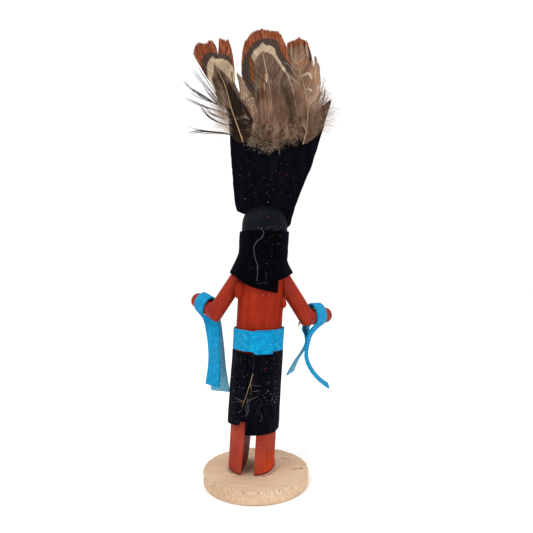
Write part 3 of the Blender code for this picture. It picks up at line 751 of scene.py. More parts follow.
class Feather:
    """A feather drawn in millimetres on the doll's middle plane, then carried to its layer."""

    def __init__(self, shaft, bands, layer, strokes=(), crisp=1.0):
        self.crisp = crisp
        self.shaft = smooth_line(shaft)
        self.bands = [np.array(band) for band in bands]
        self.layer = layer
        self.strokes = [(tone, smooth_line(line), *rest) for tone, line, *rest in strokes]
        self.runs, self.fluff_runs = [], []

    def shaft_at(self, z):
        """The shaft's X at a height, and its upward direction."""
        order = self.shaft[:, 1].argsort()
        line = self.shaft[order]
        low, high = line[0, 1], line[-1, 1]
        z = min(max(z, low), high)
        x = np.interp(z, line[:, 1], line[:, 0])
        ahead = np.interp(min(z + 2, high), line[:, 1], line[:, 0])
        behind = np.interp(max(z - 2, low), line[:, 1], line[:, 0])
        run = np.array([ahead - behind, min(z + 2, high) - max(z - 2, low)])
        return np.array([x, z]), run / np.linalg.norm(run)

    def marks_of(self, flat, facts):
        """Every mark at each flat spot."""
        held = {}
        for mark, band in zip(BANDS, self.bands):
            held[mark] = np.full(len(flat), 9.0)
            if not facts.get("bare"):
                held[mark] = under(flat, band) * self.crisp
        for mark in ("barb", "mottle", "down", *PAINTS):
            held[mark] = np.full(len(flat), facts.get(mark, -2.0 if mark in PAINTS else 0.0))
        for tone, line, wide, *strength in self.strokes:
            apart, share = nearest(flat, line)
            taper = np.minimum(1, 4 * np.minimum(share, 1 - share) + 0.35)
            mark = (1 - apart / (wide * taper)) * (strength[0] if strength else 1)
            held[tone] = np.maximum(held[tone], mark)
        return held

    def vane(self, ends, count, steep=1.5, wide=0.17, bow=0.45, ragged=0.5, clump=6,
             lift=0.0, web=True, **facts):
        """Barbs from the shaft to an edge, over a closer web. steep is how far each climbs
        for its reach."""
        ends = smooth_line(ends)
        if web:
            self.row(ends, count // 3, steep, WEB_WIDE, bow, 1.3, 1, lift - 0.25, WEB_TIP, facts)
        self.row(ends, count, steep, wide, bow, ragged, clump, lift, BARB_TIP, facts)

    def row(self, ends, count, steep, wide, bow, ragged, clump, lift, fringe, facts):
        """One row of barbs side by side, tips drawn together in clumps."""
        left = 0
        for k in range(count):
            if left <= 0:
                size = left = random.randint(max(1, clump // 2), clump + clump // 2)
                group_tone, group_short = random.random(), random.uniform(0, ragged)
            left -= 1
            squeeze = 0.30 * ((size - 1) / 2 - left)
            tip = sample(ends, (k + 0.5 - squeeze) / count)
            aim = sample(ends, (k + 0.5) / count)
            beside, _ = self.shaft_at(aim[1])
            root, up = self.shaft_at(aim[1] - steep * abs(aim[0] - beside[0]))
            reach = np.linalg.norm(tip - root)
            short = max(group_short, ragged * 0.6 if wide == WEB_WIDE else 0)
            tip = tip - (tip - root) / reach * (short + random.uniform(0, 0.25) * ragged)
            knee = tip - up * reach * bow
            tone = 0.6 * group_tone + 0.4 * random.random()
            t = 1 - (1 - np.linspace(0, 1, BARB_LEVELS)[:, None]) ** 1.12
            flat = root * (1 - t) ** 2 + knee * 2 * t * (1 - t) + tip * t * t
            self.add(flat, wide, 0.05, lift + random.uniform(-0.10, 0.14),
                     {"barb": tone, **facts}, fringe)

    def add(self, flat, wide, deep, rise, facts, fringe):
        """One strand through flat spots, fine at its tip."""
        left = np.linalg.norm(flat[-1] - flat, axis=1)
        fine = np.clip(0.22 + 0.78 * left / fringe, 0, 1)
        points = []
        for k, (x, z) in enumerate(flat):
            out = rise * min(1, k / 2) * MM
            points.append(seen(x, z, feather_depth(self.layer, z * MM) - out))
        run = (points, wide * MM * fine, deep * MM * fine, BACK, self.marks_of(flat, facts))
        (self.runs if len(flat) == BARB_LEVELS else self.fluff_runs).append(run)

    def fluff(self, count, roots, aims, reach, wide=0.06, curl=1.0, lift=(-0.4, 0.6),
              spread=0.8, lock=1, **facts):
        """Fine wavy strands from spots along a line, headed in degrees between two aims,
        in locks of so many strands."""
        roots = smooth_line(roots)
        for k in range(count):
            if k % lock == 0:
                share = random.random()
                middle = sample(roots, share) + scatter(spread)
                heading = math.radians(
                    aims[0] + (aims[1] - aims[0]) * share + random.gauss(0, 14 * curl))
                length = random.uniform(*reach)
                bend, phase = random.gauss(0, 0.7) * curl, random.uniform(0, 6.3)
                rise, tone = random.uniform(*lift), random.random()
            fan = random.gauss(0, 0.10) if lock > 1 else 0
            spot = middle + scatter(0.25)
            grown = length * random.uniform(0.75, 1.05)
            flat = [spot]
            for level in range(1, FLUFF_LEVELS):
                t = level / (FLUFF_LEVELS - 1)
                turn = heading + fan + (bend + fan) * t
                turn += 0.45 * curl * math.sin(6 * t + phase)
                step = grown / (FLUFF_LEVELS - 1)
                flat.append(flat[-1] + np.array([math.cos(turn), math.sin(turn)]) * step)
            own = 1.3 * tone + 0.25 * random.random()
            streaked = {}
            if tone < 0.22:
                streaked = {"dark": 0.55 - tone}
            elif tone > 0.86 and curl > 1:
                streaked = {"cream": tone - 0.66}
            self.add(np.array(flat), wide, wide, rise + random.uniform(-0.1, 0.1),
                     {"barb": own, "bare": True, **streaked, **facts}, length)

    def wisp(self, spots, wide=0.10, **facts):
        """One long loose barb."""
        line = smooth_line(spots, 4)
        flat = np.array([sample(line, k / (FLUFF_LEVELS - 1)) for k in range(FLUFF_LEVELS)])
        self.add(flat, wide, wide * 0.7, 0.1, {"barb": 0.3, "bare": True, **facts}, 6.0)

    def make(self, name, node, finish, quill, thick):
        piece = strands(name + "_vane", self.runs, MARKS, BARB_LEVELS - 2)
        finished(piece, name + "_vane", finish, "pheasant_feather", node)
        down = strands(name + "_down", self.fluff_runs, MARKS, FLUFF_LEVELS - 2)
        finished(down, name + "_down", finish, "pheasant_feather")
        last = SHAFT_LEVELS - 1
        points = [seen(x, z, feather_depth(self.layer, z * MM) - 0.3 * MM)
                  for x, z in (sample(self.shaft, k / last) for k in range(SHAFT_LEVELS))]
        slim = [thick * MM * (1 - 0.72 * k / last) for k in range(SHAFT_LEVELS)]
        stem = strands(name + "_shaft", [(points, slim, slim, BACK, {})], (), SHAFT_LEVELS - 2)
        finished(stem, name + "_shaft", quill, "pheasant_feather")


def left_feather():
    shaft = [(-6.3, 164.8), (-7.7, 168.8), (-9.6, 174.3), (-11.7, 180.1), (-13.8, 188),
        (-15.5, 193.4), (-17.5, 197.6), (-18.9, 200.7), (-20.3, 203.5)]
    dark = [(-24.3, 197.3), (-25, 198.7), (-25.9, 200.8), (-26.5, 202.6), (-26.5, 204.4),
        (-25.9, 206.1), (-24.8, 207.5), (-23.4, 208.6), (-22, 208.2), (-20.6, 208.4), (-18, 207.9),
        (-15.8, 207.5), (-14.3, 207.3), (-13.1, 206.5), (-12.3, 205.4), (-11.5, 203.7), (-10.8, 201.5),
        (-6.3, 198.2)]
    cream = [(-22.5, 194.5), (-23.3, 197), (-23.7, 198.7), (-23.8, 200.4), (-23.6, 202.6),
        (-23.3, 204), (-22.5, 205.1), (-21.8, 205.9), (-21.4, 206.8), (-20.8, 206), (-19.9, 205.3),
        (-18, 205.4), (-15.8, 205.1), (-14.1, 204.6), (-13, 203.7), (-11.8, 202.3), (-11, 200.8),
        (-10.2, 199), (-6.3, 194.2)]
    field = [(-21.5, 194.7), (-21.1, 197), (-20.7, 199.3), (-20.6, 201.5), (-20.6, 202.9),
        (-20.4, 204), (-19.9, 202.6), (-18.9, 201.5), (-17.5, 200.1), (-16.2, 199.2), (-15, 198.1),
        (-13.8, 196.7), (-12.7, 195.3), (-11.6, 193.6), (-10.6, 191.7), (-9.1, 189.2)]
    strokes = [
        ("dark", [(-18.6, 198.6), (-16.4, 194.8), (-13.8, 189.6), (-11, 184), (-9.6, 180)], 2.6,
         0.9),
        ("dark", [(-21, 196), (-18.6, 190.5), (-16.8, 184)], 2.4, 0.62),
        ("cream", [(-23.9, 197.6), (-22.4, 195.4), (-21.4, 193.2), (-20.4, 190.6), (-19.7, 186.9)],
         0.55),
        ("dark", [(-12.2, 199.5), (-11.4, 196.8)], 0.5),
        ("dark", [(-13.9, 203), (-13.2, 200.6)], 0.35),
        ("dark", [(-27.5, 202.5), (-25.3, 199.4), (-23.4, 196.2)], 0.35)]
    made = Feather(shaft, (dark, cream, field), 2, strokes)
    made.vane([(-19.8, 206.4), (-19.5, 208.6), (-20.2, 212.4), (-21.1, 214.4), (-22.2, 214.9),
        (-23.4, 214.4), (-24.1, 213.4), (-25.9, 213.3), (-27.5, 213.6), (-28.7, 213.6), (-29.6, 212.7),
        (-30.5, 211.3), (-31, 208.8)], 130, 1.0)
    made.vane([(-31, 208.8), (-30.3, 207.4), (-28.1, 203.5), (-25.9, 199.8), (-23.9, 197.3),
        (-22, 194.2), (-20.6, 191.4), (-19.6, 188.3), (-18.9, 186.2)], 150, 1.0)
    made.vane([(-18.3, 206.6), (-18, 211), (-17.9, 215.2), (-17.6, 215.8), (-16.4, 215.5),
        (-15.2, 214.9), (-14.8, 213.6)], 80, 1.6)
    made.vane([(-14.4, 213.6), (-14.1, 215.2), (-13.3, 214.4), (-12.4, 211.3), (-11.8, 207.7),
        (-11.3, 204.3), (-11.1, 201.5), (-10.9, 198.2), (-10.9, 194.8)], 120, 1.6)
    made.vane([(-9.3, 199.4), (-8, 198.2), (-6, 195.1), (-4.1, 191.7), (-2.1, 188.4), (-0.8, 186),
        (-0.6, 184), (-1.4, 181.6), (-2.6, 179.6)], 190, 2.6, bow=0.5, ragged=1.2, mottle=1.0,
        down=0.5, bare=True)
    made.vane([(-12, 197.8), (-10.6, 194.4), (-8.6, 190.4), (-6, 186.2), (-4.2, 182.6),
        (-3.4, 179.4)], 110, 2.6, ragged=1.8, lift=0.2, mottle=0.25, dark=0.25, bare=True)
    made.vane([(-13.2, 194.9), (-11.2, 191.4), (-8.9, 187.6), (-6.2, 184), (-3.8, 180.6),
        (-2.2, 177.6), (-2.2, 174.4), (-3.8, 170.6), (-5.2, 168)], 150, 2.2, ragged=1.6, lift=0.6,
        dark=1.0, bare=True)
    made.vane([(-16.4, 184.6), (-15, 180), (-13.9, 176), (-13.4, 172), (-12.6, 169),
        (-11, 166.8)], 80, 0.8, ragged=1.2, dark=1.0, wide=0.14, bare=True)
    made.fluff(480, [(-16, 186), (-14.5, 180), (-13, 175), (-12, 169)], (118, 172), (5, 13), 0.045,
        0.6, lock=4, down=1.0, cream=0.25)
    loose = [
        [(-17, 182), (-19.3, 186.3), (-23.5, 191.8), (-27.2, 196.4), (-30.8, 201.1)],
        [(-17, 181), (-23, 186), (-31.3, 191), (-35, 194.9)],
        [(-18, 183), (-24, 185.6), (-28.2, 188), (-31.9, 190.9)],
        [(-12.7, 177.8), (-20.4, 180.6), (-24.6, 182), (-28.7, 183.8), (-33.4, 185.9)],
        [(-15.4, 176), (-21.4, 178.2), (-24.6, 180.6), (-26.6, 182.6)],
        [(-14, 173), (-21, 176), (-25, 180), (-27, 183)],
        [(-15, 180), (-19, 184), (-23, 189), (-25, 192.5)],
        [(-10.1, 167.9), (-16, 169.3), (-23, 169.9), (-27.2, 170.4), (-31.9, 171.6)],
        [(-14, 169), (-23, 169.9), (-27.7, 169.9), (-32.4, 168.6)]]
    for spots in loose:
        for _ in range(3):
            shift = scatter(0.25)
            made.wisp([tuple(np.array(spot) + shift * k) for k, spot in enumerate(spots)],
                      0.20, dark=0.45)
    return made


def centre_feather():
    left = [(6.4, 219.7), (4.8, 219.8), (3.4, 220.1), (2.7, 220.6), (1.7, 219.8), (0, 219.7),
        (-1.7, 218.7), (-3.6, 217), (-5.3, 214.5), (-6.4, 211.7), (-7.1, 207.5), (-7.3, 201.9),
        (-6.6, 196.3), (-4.7, 190.7), (-2.2, 185.1)]
    right = [(6.4, 219.7), (8.1, 219.5), (10.1, 219.2), (11.8, 218.1), (12.7, 216.7), (13.4, 214.8),
        (14.6, 212.5), (15.1, 210.3), (16, 206.4), (16.8, 201.9), (17.3, 196.3), (18.7, 187.9),
        (19.3, 182.3)]
    shaft = [(9.4, 166.8), (8.8, 176), (8.4, 180.7), (7.6, 185.1), (6.7, 190.7), (5.9, 196),
        (5, 199.1), (4.2, 203.3), (3.4, 207.8)]
    dark = [(-7.3, 199.1), (-6.6, 203), (-6, 205.8), (-5, 207.5), (-4, 208.8), (-3.2, 210.3),
        (-2.2, 211.7), (-1.4, 213), (0, 213.9), (1.4, 214.5), (2.8, 215.1), (4.2, 215.3),
        (6.2, 215.3), (7.8, 215.2), (9.5, 214.6), (10.4, 213.7), (11.3, 212.3), (11.8, 210.3),
        (12.4, 208.6), (13.5, 206.9), (14.6, 205.3), (15.7, 203.9), (17.3, 202.2), (20.4, 196.3),
        (23.5, 182.3)]
    cream = [(-1, 203.4), (-1.8, 205.3), (-2.2, 206.8), (-1.8, 207.8), (-1.1, 208.9), (0, 210.3),
        (0.9, 210.9), (1.8, 211.7), (2.5, 212.8), (3, 213.9), (3.5, 213), (4.2, 212.3),
        (5.3, 211.8), (6.7, 211.7), (8.1, 211.1), (9, 210.3), (9.4, 208.9), (9.7, 207.7),
        (10.6, 206.1), (11.8, 204.1), (13, 202.2), (14.3, 200.2), (15.3, 198.4), (17.3, 193.5),
        (19, 187.9), (19.9, 182.3)]
    field = [(-1, 203.4), (-0.1, 204.9), (0.6, 206.3), (1.4, 207.4), (2.5, 208.3), (3.5, 209.2),
        (4.5, 208.6), (6.2, 208.2), (7.4, 207.7), (8.5, 206.6), (9.6, 205.2), (10.7, 203.5),
        (11.8, 201.9), (12.7, 200.3), (13.7, 198.9), (14.9, 198.1), (16.8, 193.5), (18.2, 187.9),
        (19, 182.3)]
    strokes = [
        ("copper", [(-2.7, 206.6), (-2.3, 203.3), (-2.1, 199.1), (-1.5, 196.3), (-1.5, 193.5)], 0.9),
        ("dark", [(-0.9, 203), (-0.5, 199.1), (-0.7, 194.9)], 0.35),
        ("copper", [(3.1, 199.4), (3.3, 196.3), (3.3, 192.1), (2.9, 187.9), (2.5, 185.1)], 0.8),
        ("dark", [(-5.4, 206.4), (-5.4, 202.5), (-4.2, 196.3), (-2.2, 190.7)], 0.8, 0.45),
        ("dark", [(0.9, 190.7), (1.1, 187.1), (0.9, 183.7)], 0.7),
        ("cream", [(3.4, 208), (4.2, 203.3), (5, 199.1), (5.3, 198), (4.9, 195.2), (4.9, 192)],
         0.32),
        ("cream", [(5.2, 199.5), (5.9, 196.3), (7, 194.9), (7.1, 191.8)], 0.55),
        ("cream", [(4.7, 199), (4.6, 195.6), (4, 192.6), (4.2, 189.4)], 0.45),
        ("cream", [(9.2, 207.5), (11.2, 203.9), (13.2, 200.8), (14.8, 198.4)], 0.5),
        ("dark", [(12.6, 192), (15, 187), (16.6, 181), (17.2, 175)], 4, 0.55)]
    made = Feather(shaft, (dark, cream, field), 1, strokes)
    made.vane(left, 300, 1.8)
    made.vane(right, 300, 1.8)
    made.vane([(-2.2, 185.1), (-1.6, 180), (0, 176)], 60, 1.3, down=0.7, ragged=4.0)
    made.vane([(19.3, 182.3), (21.4, 178.6), (22.4, 175), (21, 172)], 80, 1.0, down=0.3,
        ragged=3.0, dark=0.35, bare=True)
    made.fluff(700, [(3, 178), (6, 174), (9, 172), (12, 172), (15, 175)], (104, 76), (9, 22), 0.13,
        0.35, (0, 0.8), 1.4, lock=7, down=1.0)
    made.fluff(600, [(-2, 178), (1.5, 174), (6, 172), (11, 171), (16, 173), (20, 179)], (150, 40),
        (6, 13), 0.09, 0.9, (0.5, 1.5), 1.4, lock=8, down=0.95)
    made.fluff(640, [(-1, 175), (4, 173), (10, 172), (15, 173), (20, 175)], (215, 325), (4, 11), 0.08,
        1.5, (0.6, 1.7), 1.5, lock=9, down=1.0)
    made.fluff(330, [(1, 171), (7, 167), (13, 167), (20, 170)], (190, 350), (4, 9), 0.06, 2.4,
        (0.4, 1.6), 1.5, lock=5, down=1.0)
    made.fluff(90, [(-3, 166.5), (3, 163), (10, 162.5)], (180, 360), (4, 9), 0.045, 3.0, (0, 0.8),
        1.2, lock=2, cream=0.6, down=1.0)
    made.fluff(110, [(-6, 171), (-3, 168), (0, 166)], (190, 340), (2, 7), 0.045, 2.4,
        (0.3, 0.9), 1.4, lock=2, cream=0.2, down=1.0)
    made.fluff(70, [(14, 167), (18, 168), (21, 168)], (220, 360), (2, 7), 0.05, 2.4,
        (0.3, 0.9), 1.2, lock=2, cream=0.3, down=1.0)
    loose = [
        [(13, 203.5), (15.7, 202.7), (18.5, 199.1), (20, 197)],
        [(15.2, 199), (16.9, 197), (19, 194.9), (21.5, 193)],
        [(15, 198.2), (17.2, 196), (19.6, 194), (22, 192.4)]]
    for spots in loose:
        made.wisp(spots, 0.2, cream=0.9)
    return made


def right_feather():
    left = [(20.6, 216.5), (18.4, 215.2), (16.2, 214.4), (15, 213.4), (14.8, 211), (15.3, 205.4),
        (15.9, 199.8), (17.3, 194.2), (18.7, 188.6), (19.5, 183.1), (20.9, 178.9)]
    right = [(20.6, 216.5), (22.9, 215.6), (24.3, 214.8), (25.1, 214.1), (26.2, 210.5), (27.3, 205.4),
        (27.9, 201.2), (27.9, 197.6), (27.8, 194.2)]
    lobe = [(28.5, 207.1), (29.6, 206.3), (30.4, 204.6), (31, 202.6), (31.3, 198.4), (31.6, 192.8),
        (31.8, 190)]
    shaft = [(22.9, 163.7), (24, 168), (24.9, 172.7), (25.2, 177), (25, 183.1), (24.3, 187.3),
        (23.7, 190.6), (22.9, 194.2), (22, 197.6), (20.9, 201.5), (20.1, 203.7), (19.2, 206)]
    dark = [(14.6, 204.1), (15, 208.6), (16, 209.7), (17.3, 210.6), (19, 211.1), (20.7, 211.6),
        (22.7, 211.7), (24.3, 211.1), (25.7, 209.7), (26.9, 204.7), (31.3, 201.9)]
    strokes = [
        ("cream", [(22.3, 196.6), (23.7, 197.7), (25.4, 198.3), (26.5, 197.3), (27.3, 195.1)], 0.7),
        ("cream", [(24.5, 190.2), (26.2, 190.5), (27.6, 189.2)], 0.6),
        ("tan", [(19.9, 205), (21.6, 203.2), (22.6, 201)], 1),
        ("tan", [(24.6, 205.5), (25, 202)], 1),
        ("tan", [(27.2, 204.5), (27.6, 200)], 0.8),
        ("tan", [(20.3, 190.8), (20.3, 186.5)], 0.7),
        ("tan", [(28, 198), (28.4, 193)], 0.6),
        ("tan", [(31, 195.4), (31.3, 189.2)], 0.6),
        ("tan", [(29.9, 199), (30, 192.2)], 0.5),
        ("dark", [(20.9, 213.4), (21, 207.2)], 0.5, 0.55),
        ("dark", [(25.7, 212), (26.5, 205.4), (27, 200.1)], 0.7, 0.7),
        ("dark", [(23.5, 213.5), (23.6, 208)], 0.5, 0.6),
        ("dark", [(18, 212.5), (18.2, 206)], 0.5, 0.45),
        ("dark", [(16.2, 212), (16.4, 204)], 0.5, 0.4),
        ("tan", [(19.4, 214.5), (19.6, 208)], 0.6, 0.5),
        ("tan", [(22.2, 214.5), (22.3, 207)], 0.7, 0.5),
        ("cream", [(24.6, 213), (25.2, 206)], 0.4, 0.5),
        ("cream", [(17.1, 213), (17.3, 207)], 0.3, 0.5)]
    made = Feather(shaft, (dark, dark, dark), 0, strokes, 0.35)
    made.vane(left, 250, 1.8, down=0.7, ragged=1.4)
    made.vane(right, 200, 1.9, down=0.7, ragged=1.2)
    made.vane(lobe, 110, 1.5, mottle=0.3, down=1.0, ragged=2.4, web=False, bare=True)
    made.vane([(31.8, 190), (32, 187), (31, 183)], 36, 1.4, down=1.0, ragged=4.0, wide=0.08,
        web=False, bare=True)
    made.vane([(32.6, 199), (34.6, 196), (35.6, 192), (35.8, 188)], 30, 1.5, down=1.0,
        ragged=5.0, wide=0.06, clump=3, web=False, bare=True)
    made.vane([(36.3, 185), (35.1, 181.6), (33.8, 177.6), (32.2, 172.8), (30.4, 169.8), (28.2, 168),
        (26.4, 166.4)], 200, 0.7, down=0.5, dark=0.42, ragged=3.0, wide=0.14, bare=True)
    made.fluff(200, [(33, 184), (34, 178), (31, 172)], (60, -25), (4, 10), 0.035, 0.9, down=1.0)
    made.fluff(220, [(26, 171), (28, 178), (30, 186)], (80, 30), (5, 12), 0.05, 0.7, lock=4, down=1.0)
    made.fluff(160, [(26, 168), (29, 172), (32, 178)], (60, -40), (2, 6), 0.05, 1.6, lock=3, down=0.8)
    return made


def make_feathers(vane, quill):
    left_feather().make("left_feather", "feather_left", vane, quill, 0.36)
    centre_feather().make("centre_feather", "feather_centre", vane, quill, 0.26)
    right_feather().make("right_feather", "feather_right", vane, quill, 0.34)


# The base and the board, and the small things that lie on the doll

def refined(node, name, voxel, moved):
    """A node's own shape, merged and closely meshed, then each point moved."""
    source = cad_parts[node]
    mesh = source.data.copy()
    mesh.transform(source.matrix_world)
    piece = bpy.data.objects.new(name, mesh)
    bpy.context.scene.collection.objects.link(piece)
    only(piece)
    bpy.ops.object.mode_set(mode="EDIT")
    bpy.ops.mesh.select_all(action="SELECT")
    bpy.ops.mesh.remove_doubles(threshold=0.00001)
    bpy.ops.object.mode_set(mode="OBJECT")
    modify(piece, "REMESH", mode="VOXEL", voxel_size=voxel)
    modify(piece, "SMOOTH", factor=0.5, iterations=2)
    places = [moved(vert.co.copy(), vert.normal.copy()) for vert in piece.data.vertices]
    for vert, place in zip(piece.data.vertices, places):
        vert.co = place
    piece.data.update()
    only(piece)
    bpy.ops.object.shade_smooth()
    return piece


# Dents in the base's upper face, as ends in millimetres
BASE_DENTS = [((16.4, -2.0), (23.7, -1.2)), ((13.0, 10.5), (19.6, 12.0)),
              ((-19.0, -6.0), (-12.5, -7.0))]


def worn_wood(spot, normal):
    """The base's sawn rim: torn along its upper edge, dented here and there."""
    reach = math.hypot(spot.x, spot.y)
    angle = math.atan2(spot.y, spot.x)
    rim = ease((reach - BASE_RADIUS + 1.1 * MM) / (0.8 * MM))
    torn = noise.noise(Vector((angle * 34, spot.z * 300, 2.0)))
    torn += 0.5 * noise.noise(Vector((angle * 90, spot.z * 700, 5.0)))
    upper = ease((spot.z - 2.5 * MM) / (3.0 * MM))
    depth = rim * (0.12 + 0.45 * upper) * (max(0.0, torn + 0.1) - 0.25) * MM
    depth += 0.035 * MM * (noise.noise(spot * 900) + 1)
    notch = math.exp(-((angle - 0.10) / 0.035) ** 2) * ease((reach - 0.0225) / 0.002)
    depth += notch * upper * 0.7 * MM
    for (ax, ay), (bx, by) in BASE_DENTS:
        start, run = Vector((ax, ay)) * MM, Vector((bx - ax, by - ay)) * MM
        share = min(max((spot.xy - start).dot(run) / run.length_squared, 0), 1)
        apart = (spot.xy - start - run * share).length
        depth += 0.22 * MM * math.exp(-(apart / (0.35 * MM)) ** 2) * max(0.0, normal.z)
    return spot - normal * depth


def make_base(wood):
    base = refined("base", "base_disc", 0.00045, worn_wood)
    finished(base, "base_disc", wood, "raw_wood", "base")


def soft_board(spot, normal):
    """Felt drawn over the board: long upright folds and an uneven edge."""
    fold = noise.noise(Vector((spot.x * 420, spot.z * 35, 1.0))) * abs(normal.y)
    lump = noise.noise(spot * 260) * (0.10 + 0.16 * (1 - abs(normal.y)))
    return spot + normal * (fold * 0.16 + lump + 0.02) * MM


def make_board(felt):
    board = refined("headdress_board", "headdress_board_felt", 0.0005, soft_board)
    finished(board, "headdress_board_felt", felt, "black_felt", "headdress_board")


def over(x, z, radius):
    """The place on a round wrap of the body that covers the millimetre spot (x, z)."""
    depth = -radius
    for _ in range(4):
        spot = seen(x, z, depth)
        aside = spot.x - body_axis(spot.z).x
        depth = -math.sqrt(max(radius ** 2 - aside ** 2, 0))
    return seen(x, z, depth)


def on_board(x, z):
    """The place on the board's felt that covers the millimetre spot (x, z)."""
    return seen(x, z, -(BOARD_HALF + 0.25) * MM)


# How far from the body's middle the outer faces of the cloth, and of the bare torso, lie
COLLAR_FACE = 0.0131
KILT_FACE = 0.0134
BELT_FACE = 0.0135
TORSO_FACE = BODY_RADIUS + 0.05 * MM
THREAD_LEVELS = 14


def thread(points, thick, tip=1.0):
    """A round strand through points. tip is its far end's share of its thickness."""
    fine = [thick * MM * (1 + (tip - 1) * k / (THREAD_LEVELS - 1))
            for k in range(THREAD_LEVELS)]
    curve = curve_through(points, 6)
    path = [sample(curve, k / (THREAD_LEVELS - 1)) for k in range(THREAD_LEVELS)]
    return path, fine, fine, BACK, {}


def make_threads(name, runs, finish, slot):
    finished(strands(name, runs, (), THREAD_LEVELS - 2), name, finish, slot)


def lint(count, left, right, low, high, put):
    """Short loose fibres scattered over a part of the cloth."""
    runs = []
    for _ in range(count):
        x, z = random.uniform(left, right), random.uniform(low, high)
        turn, long = random.uniform(0, 6.3), random.uniform(0.12, 0.55)
        side = (math.cos(turn) * long, math.sin(turn) * long)
        bow = (random.gauss(0, 0.12), random.gauss(0, 0.12))
        runs.append(thread([put(x, z), put(x + side[0] / 2 + bow[0], z + side[1] / 2 + bow[1]),
                            put(x + side[0], z + side[1])], random.uniform(0.03, 0.09)))
    return runs


# Where the small things lie, in millimetres of the doll's middle plane
COLLAR_THREAD = [(2.4, 122.7), (3.2, 121.9), (3.8, 120.6), (2.9, 118.0), (0.8, 116.8),
                 (-1.1, 113.5), (-0.5, 108.4), (0.8, 104.2), (0.4, 97.1)]
# The collar's creases, as lines; pale strands laid along them are painted highlights on the folds
COLLAR_CREASE_HIGHLIGHTS = [[(4.9, 101.5), (4.8, 98.0), (4.6, 95.1)],
                  [(7.0, 101.5), (7.1, 98.5), (7.0, 95.6)],
                  [(0.5, 95.9), (4.5, 96.1), (8.7, 95.9)],
                  [(-10.2, 103.9), (-7.3, 103.2), (-4.9, 102.2)],
                  [(-11.0, 98.6), (-7.0, 97.6), (-2.9, 96.6)]]
KILT_BARB = [([(-1.5, 51.8), (-2.5, 48.4), (-3.7, 44.5), (-5.4, 39.3), (-6.8, 35.6)], 0.30),
             ([(-2.8, 47.2), (-2.5, 44.6), (-2.4, 42.3)], 0.14),
             ([(-3.8, 38.0), (-1.9, 39.6), (0.5, 40.7)], 0.12),
             ([(-5.8, 38.3), (-8.1, 39.1), (-10.5, 40.4)], 0.12),
             ([(-6.2, 37.6), (-8.0, 38.2), (-9.6, 38.6)], 0.08)]
GLUE_STRINGS = [[(-3.4, 39.6), (-4.9, 37.1), (-5.1, 34.7), (-4.4, 31.8)],
                [(-4.9, 38.6), (-3.4, 36.2), (-3.7, 33.2), (-5.4, 31.3)],
                [(-4.3, 39.6), (-4.0, 35.3), (-4.6, 31.0)],
                [(-8.9, 32.9), (-7.8, 33.6), (-6.7, 34.8)],
                [(-2.1, 43.2), (0.2, 43.4), (2.2, 44.0)],
                [(-2.7, 46.7), (0.0, 45.9), (2.7, 46.1)],
                [(2.5, 32.0), (3.0, 29.9), (1.6, 28.3)]]
KILT_WHITES = [(-10.8, 43.7), (-6.2, 45.0), (9.5, 44.8), (9.0, 42.1), (7.9, 39.6), (10.4, 40.7),
               (7.1, 42.1), (6.0, 47.8), (9.8, 48.0), (9.0, 38.0), (6.0, 43.2)]
KILT_SEAM = [(-0.8, 61.5), (-1.2, 55.0), (-2.6, 42.0), (-5.1, 30.0)]
LEG_MARKS = [[(0.4, 15.9), (2.9, 16.1), (6.6, 16.6), (8.6, 17.6)],
             [(-11.2, 20.6), (-8.6, 19.8), (-6.4, 18.8)]]
BOARD_WHITES = [(-5.4, 137.1), (5.9, 135.5), (14.1, 126.9)]
BOARD_RED, DOME_RED, KILT_RED, KILT_TEAL = (14.7, 148.9), (6.1, 128.2), (4.6, 54.4), (5.5, 57.6)
TORSO_CHIPS = [(3.5, 90.2), (6.5, 90.2)]
TORSO_NICK = (9.4, 78.7)
BELT_WHITES = [(11.0, 67.4), (11.0, 64.9), (-5.6, 65.2)]
ARMPIT_GLUE = [(15.0, 95.5), (14.7, 92.5), (14.2, 89.4), (13.3, 86.2), (12.7, 82.6)]


def laid(put, lines, thick, tip=1.0):
    """Strands laid on a surface, each through the millimetre spots of a line."""
    return [thread([put(x, z) for x, z in line], thick, tip) for line in lines]


def specks(put, spots, thick=0.22):
    """Short slanted strands, one at each spot."""
    return [thread([put(x - 0.2, z - 0.1), put(x, z), put(x + 0.2, z + 0.15)], thick, 0.5)
            for x, z in spots]


def foot_ring(radius, spots):
    """Places round the body's foot, from degrees and heights in millimetres."""
    return [Vector((FOOT_X + radius * math.cos(math.radians(degrees)),
                    radius * math.sin(math.radians(degrees)), height * MM))
            for degrees, height in spots]


def on_base(*spots):
    """Places on the base's upper face."""
    return [Vector((x * MM, y * MM, BASE_TOP)) for x, y in spots]


def torn_fibre():
    """A short wood fibre that hangs from the base's rim, most often at the back."""
    turn = math.radians(random.gauss(-82, 42))
    reach = BASE_RADIUS - random.uniform(-0.05, 0.35) * MM
    long = random.uniform(0.3, 1.1) * MM
    start = Vector((reach * math.cos(turn), reach * math.sin(turn),
                    BASE_TOP - random.uniform(-0.1, 0.9) * MM))
    out = Vector((math.cos(turn), math.sin(turn), 0))
    aim = (out * random.uniform(0.0, 0.25) + Vector((0, 0, -1))
           + out.cross(Vector((0, 0, 1))) * random.gauss(0, 0.6)).normalized()
    return thread([start, start + aim * long * 0.5, start + aim * long],
                  random.uniform(0.12, 0.34), 0.3)


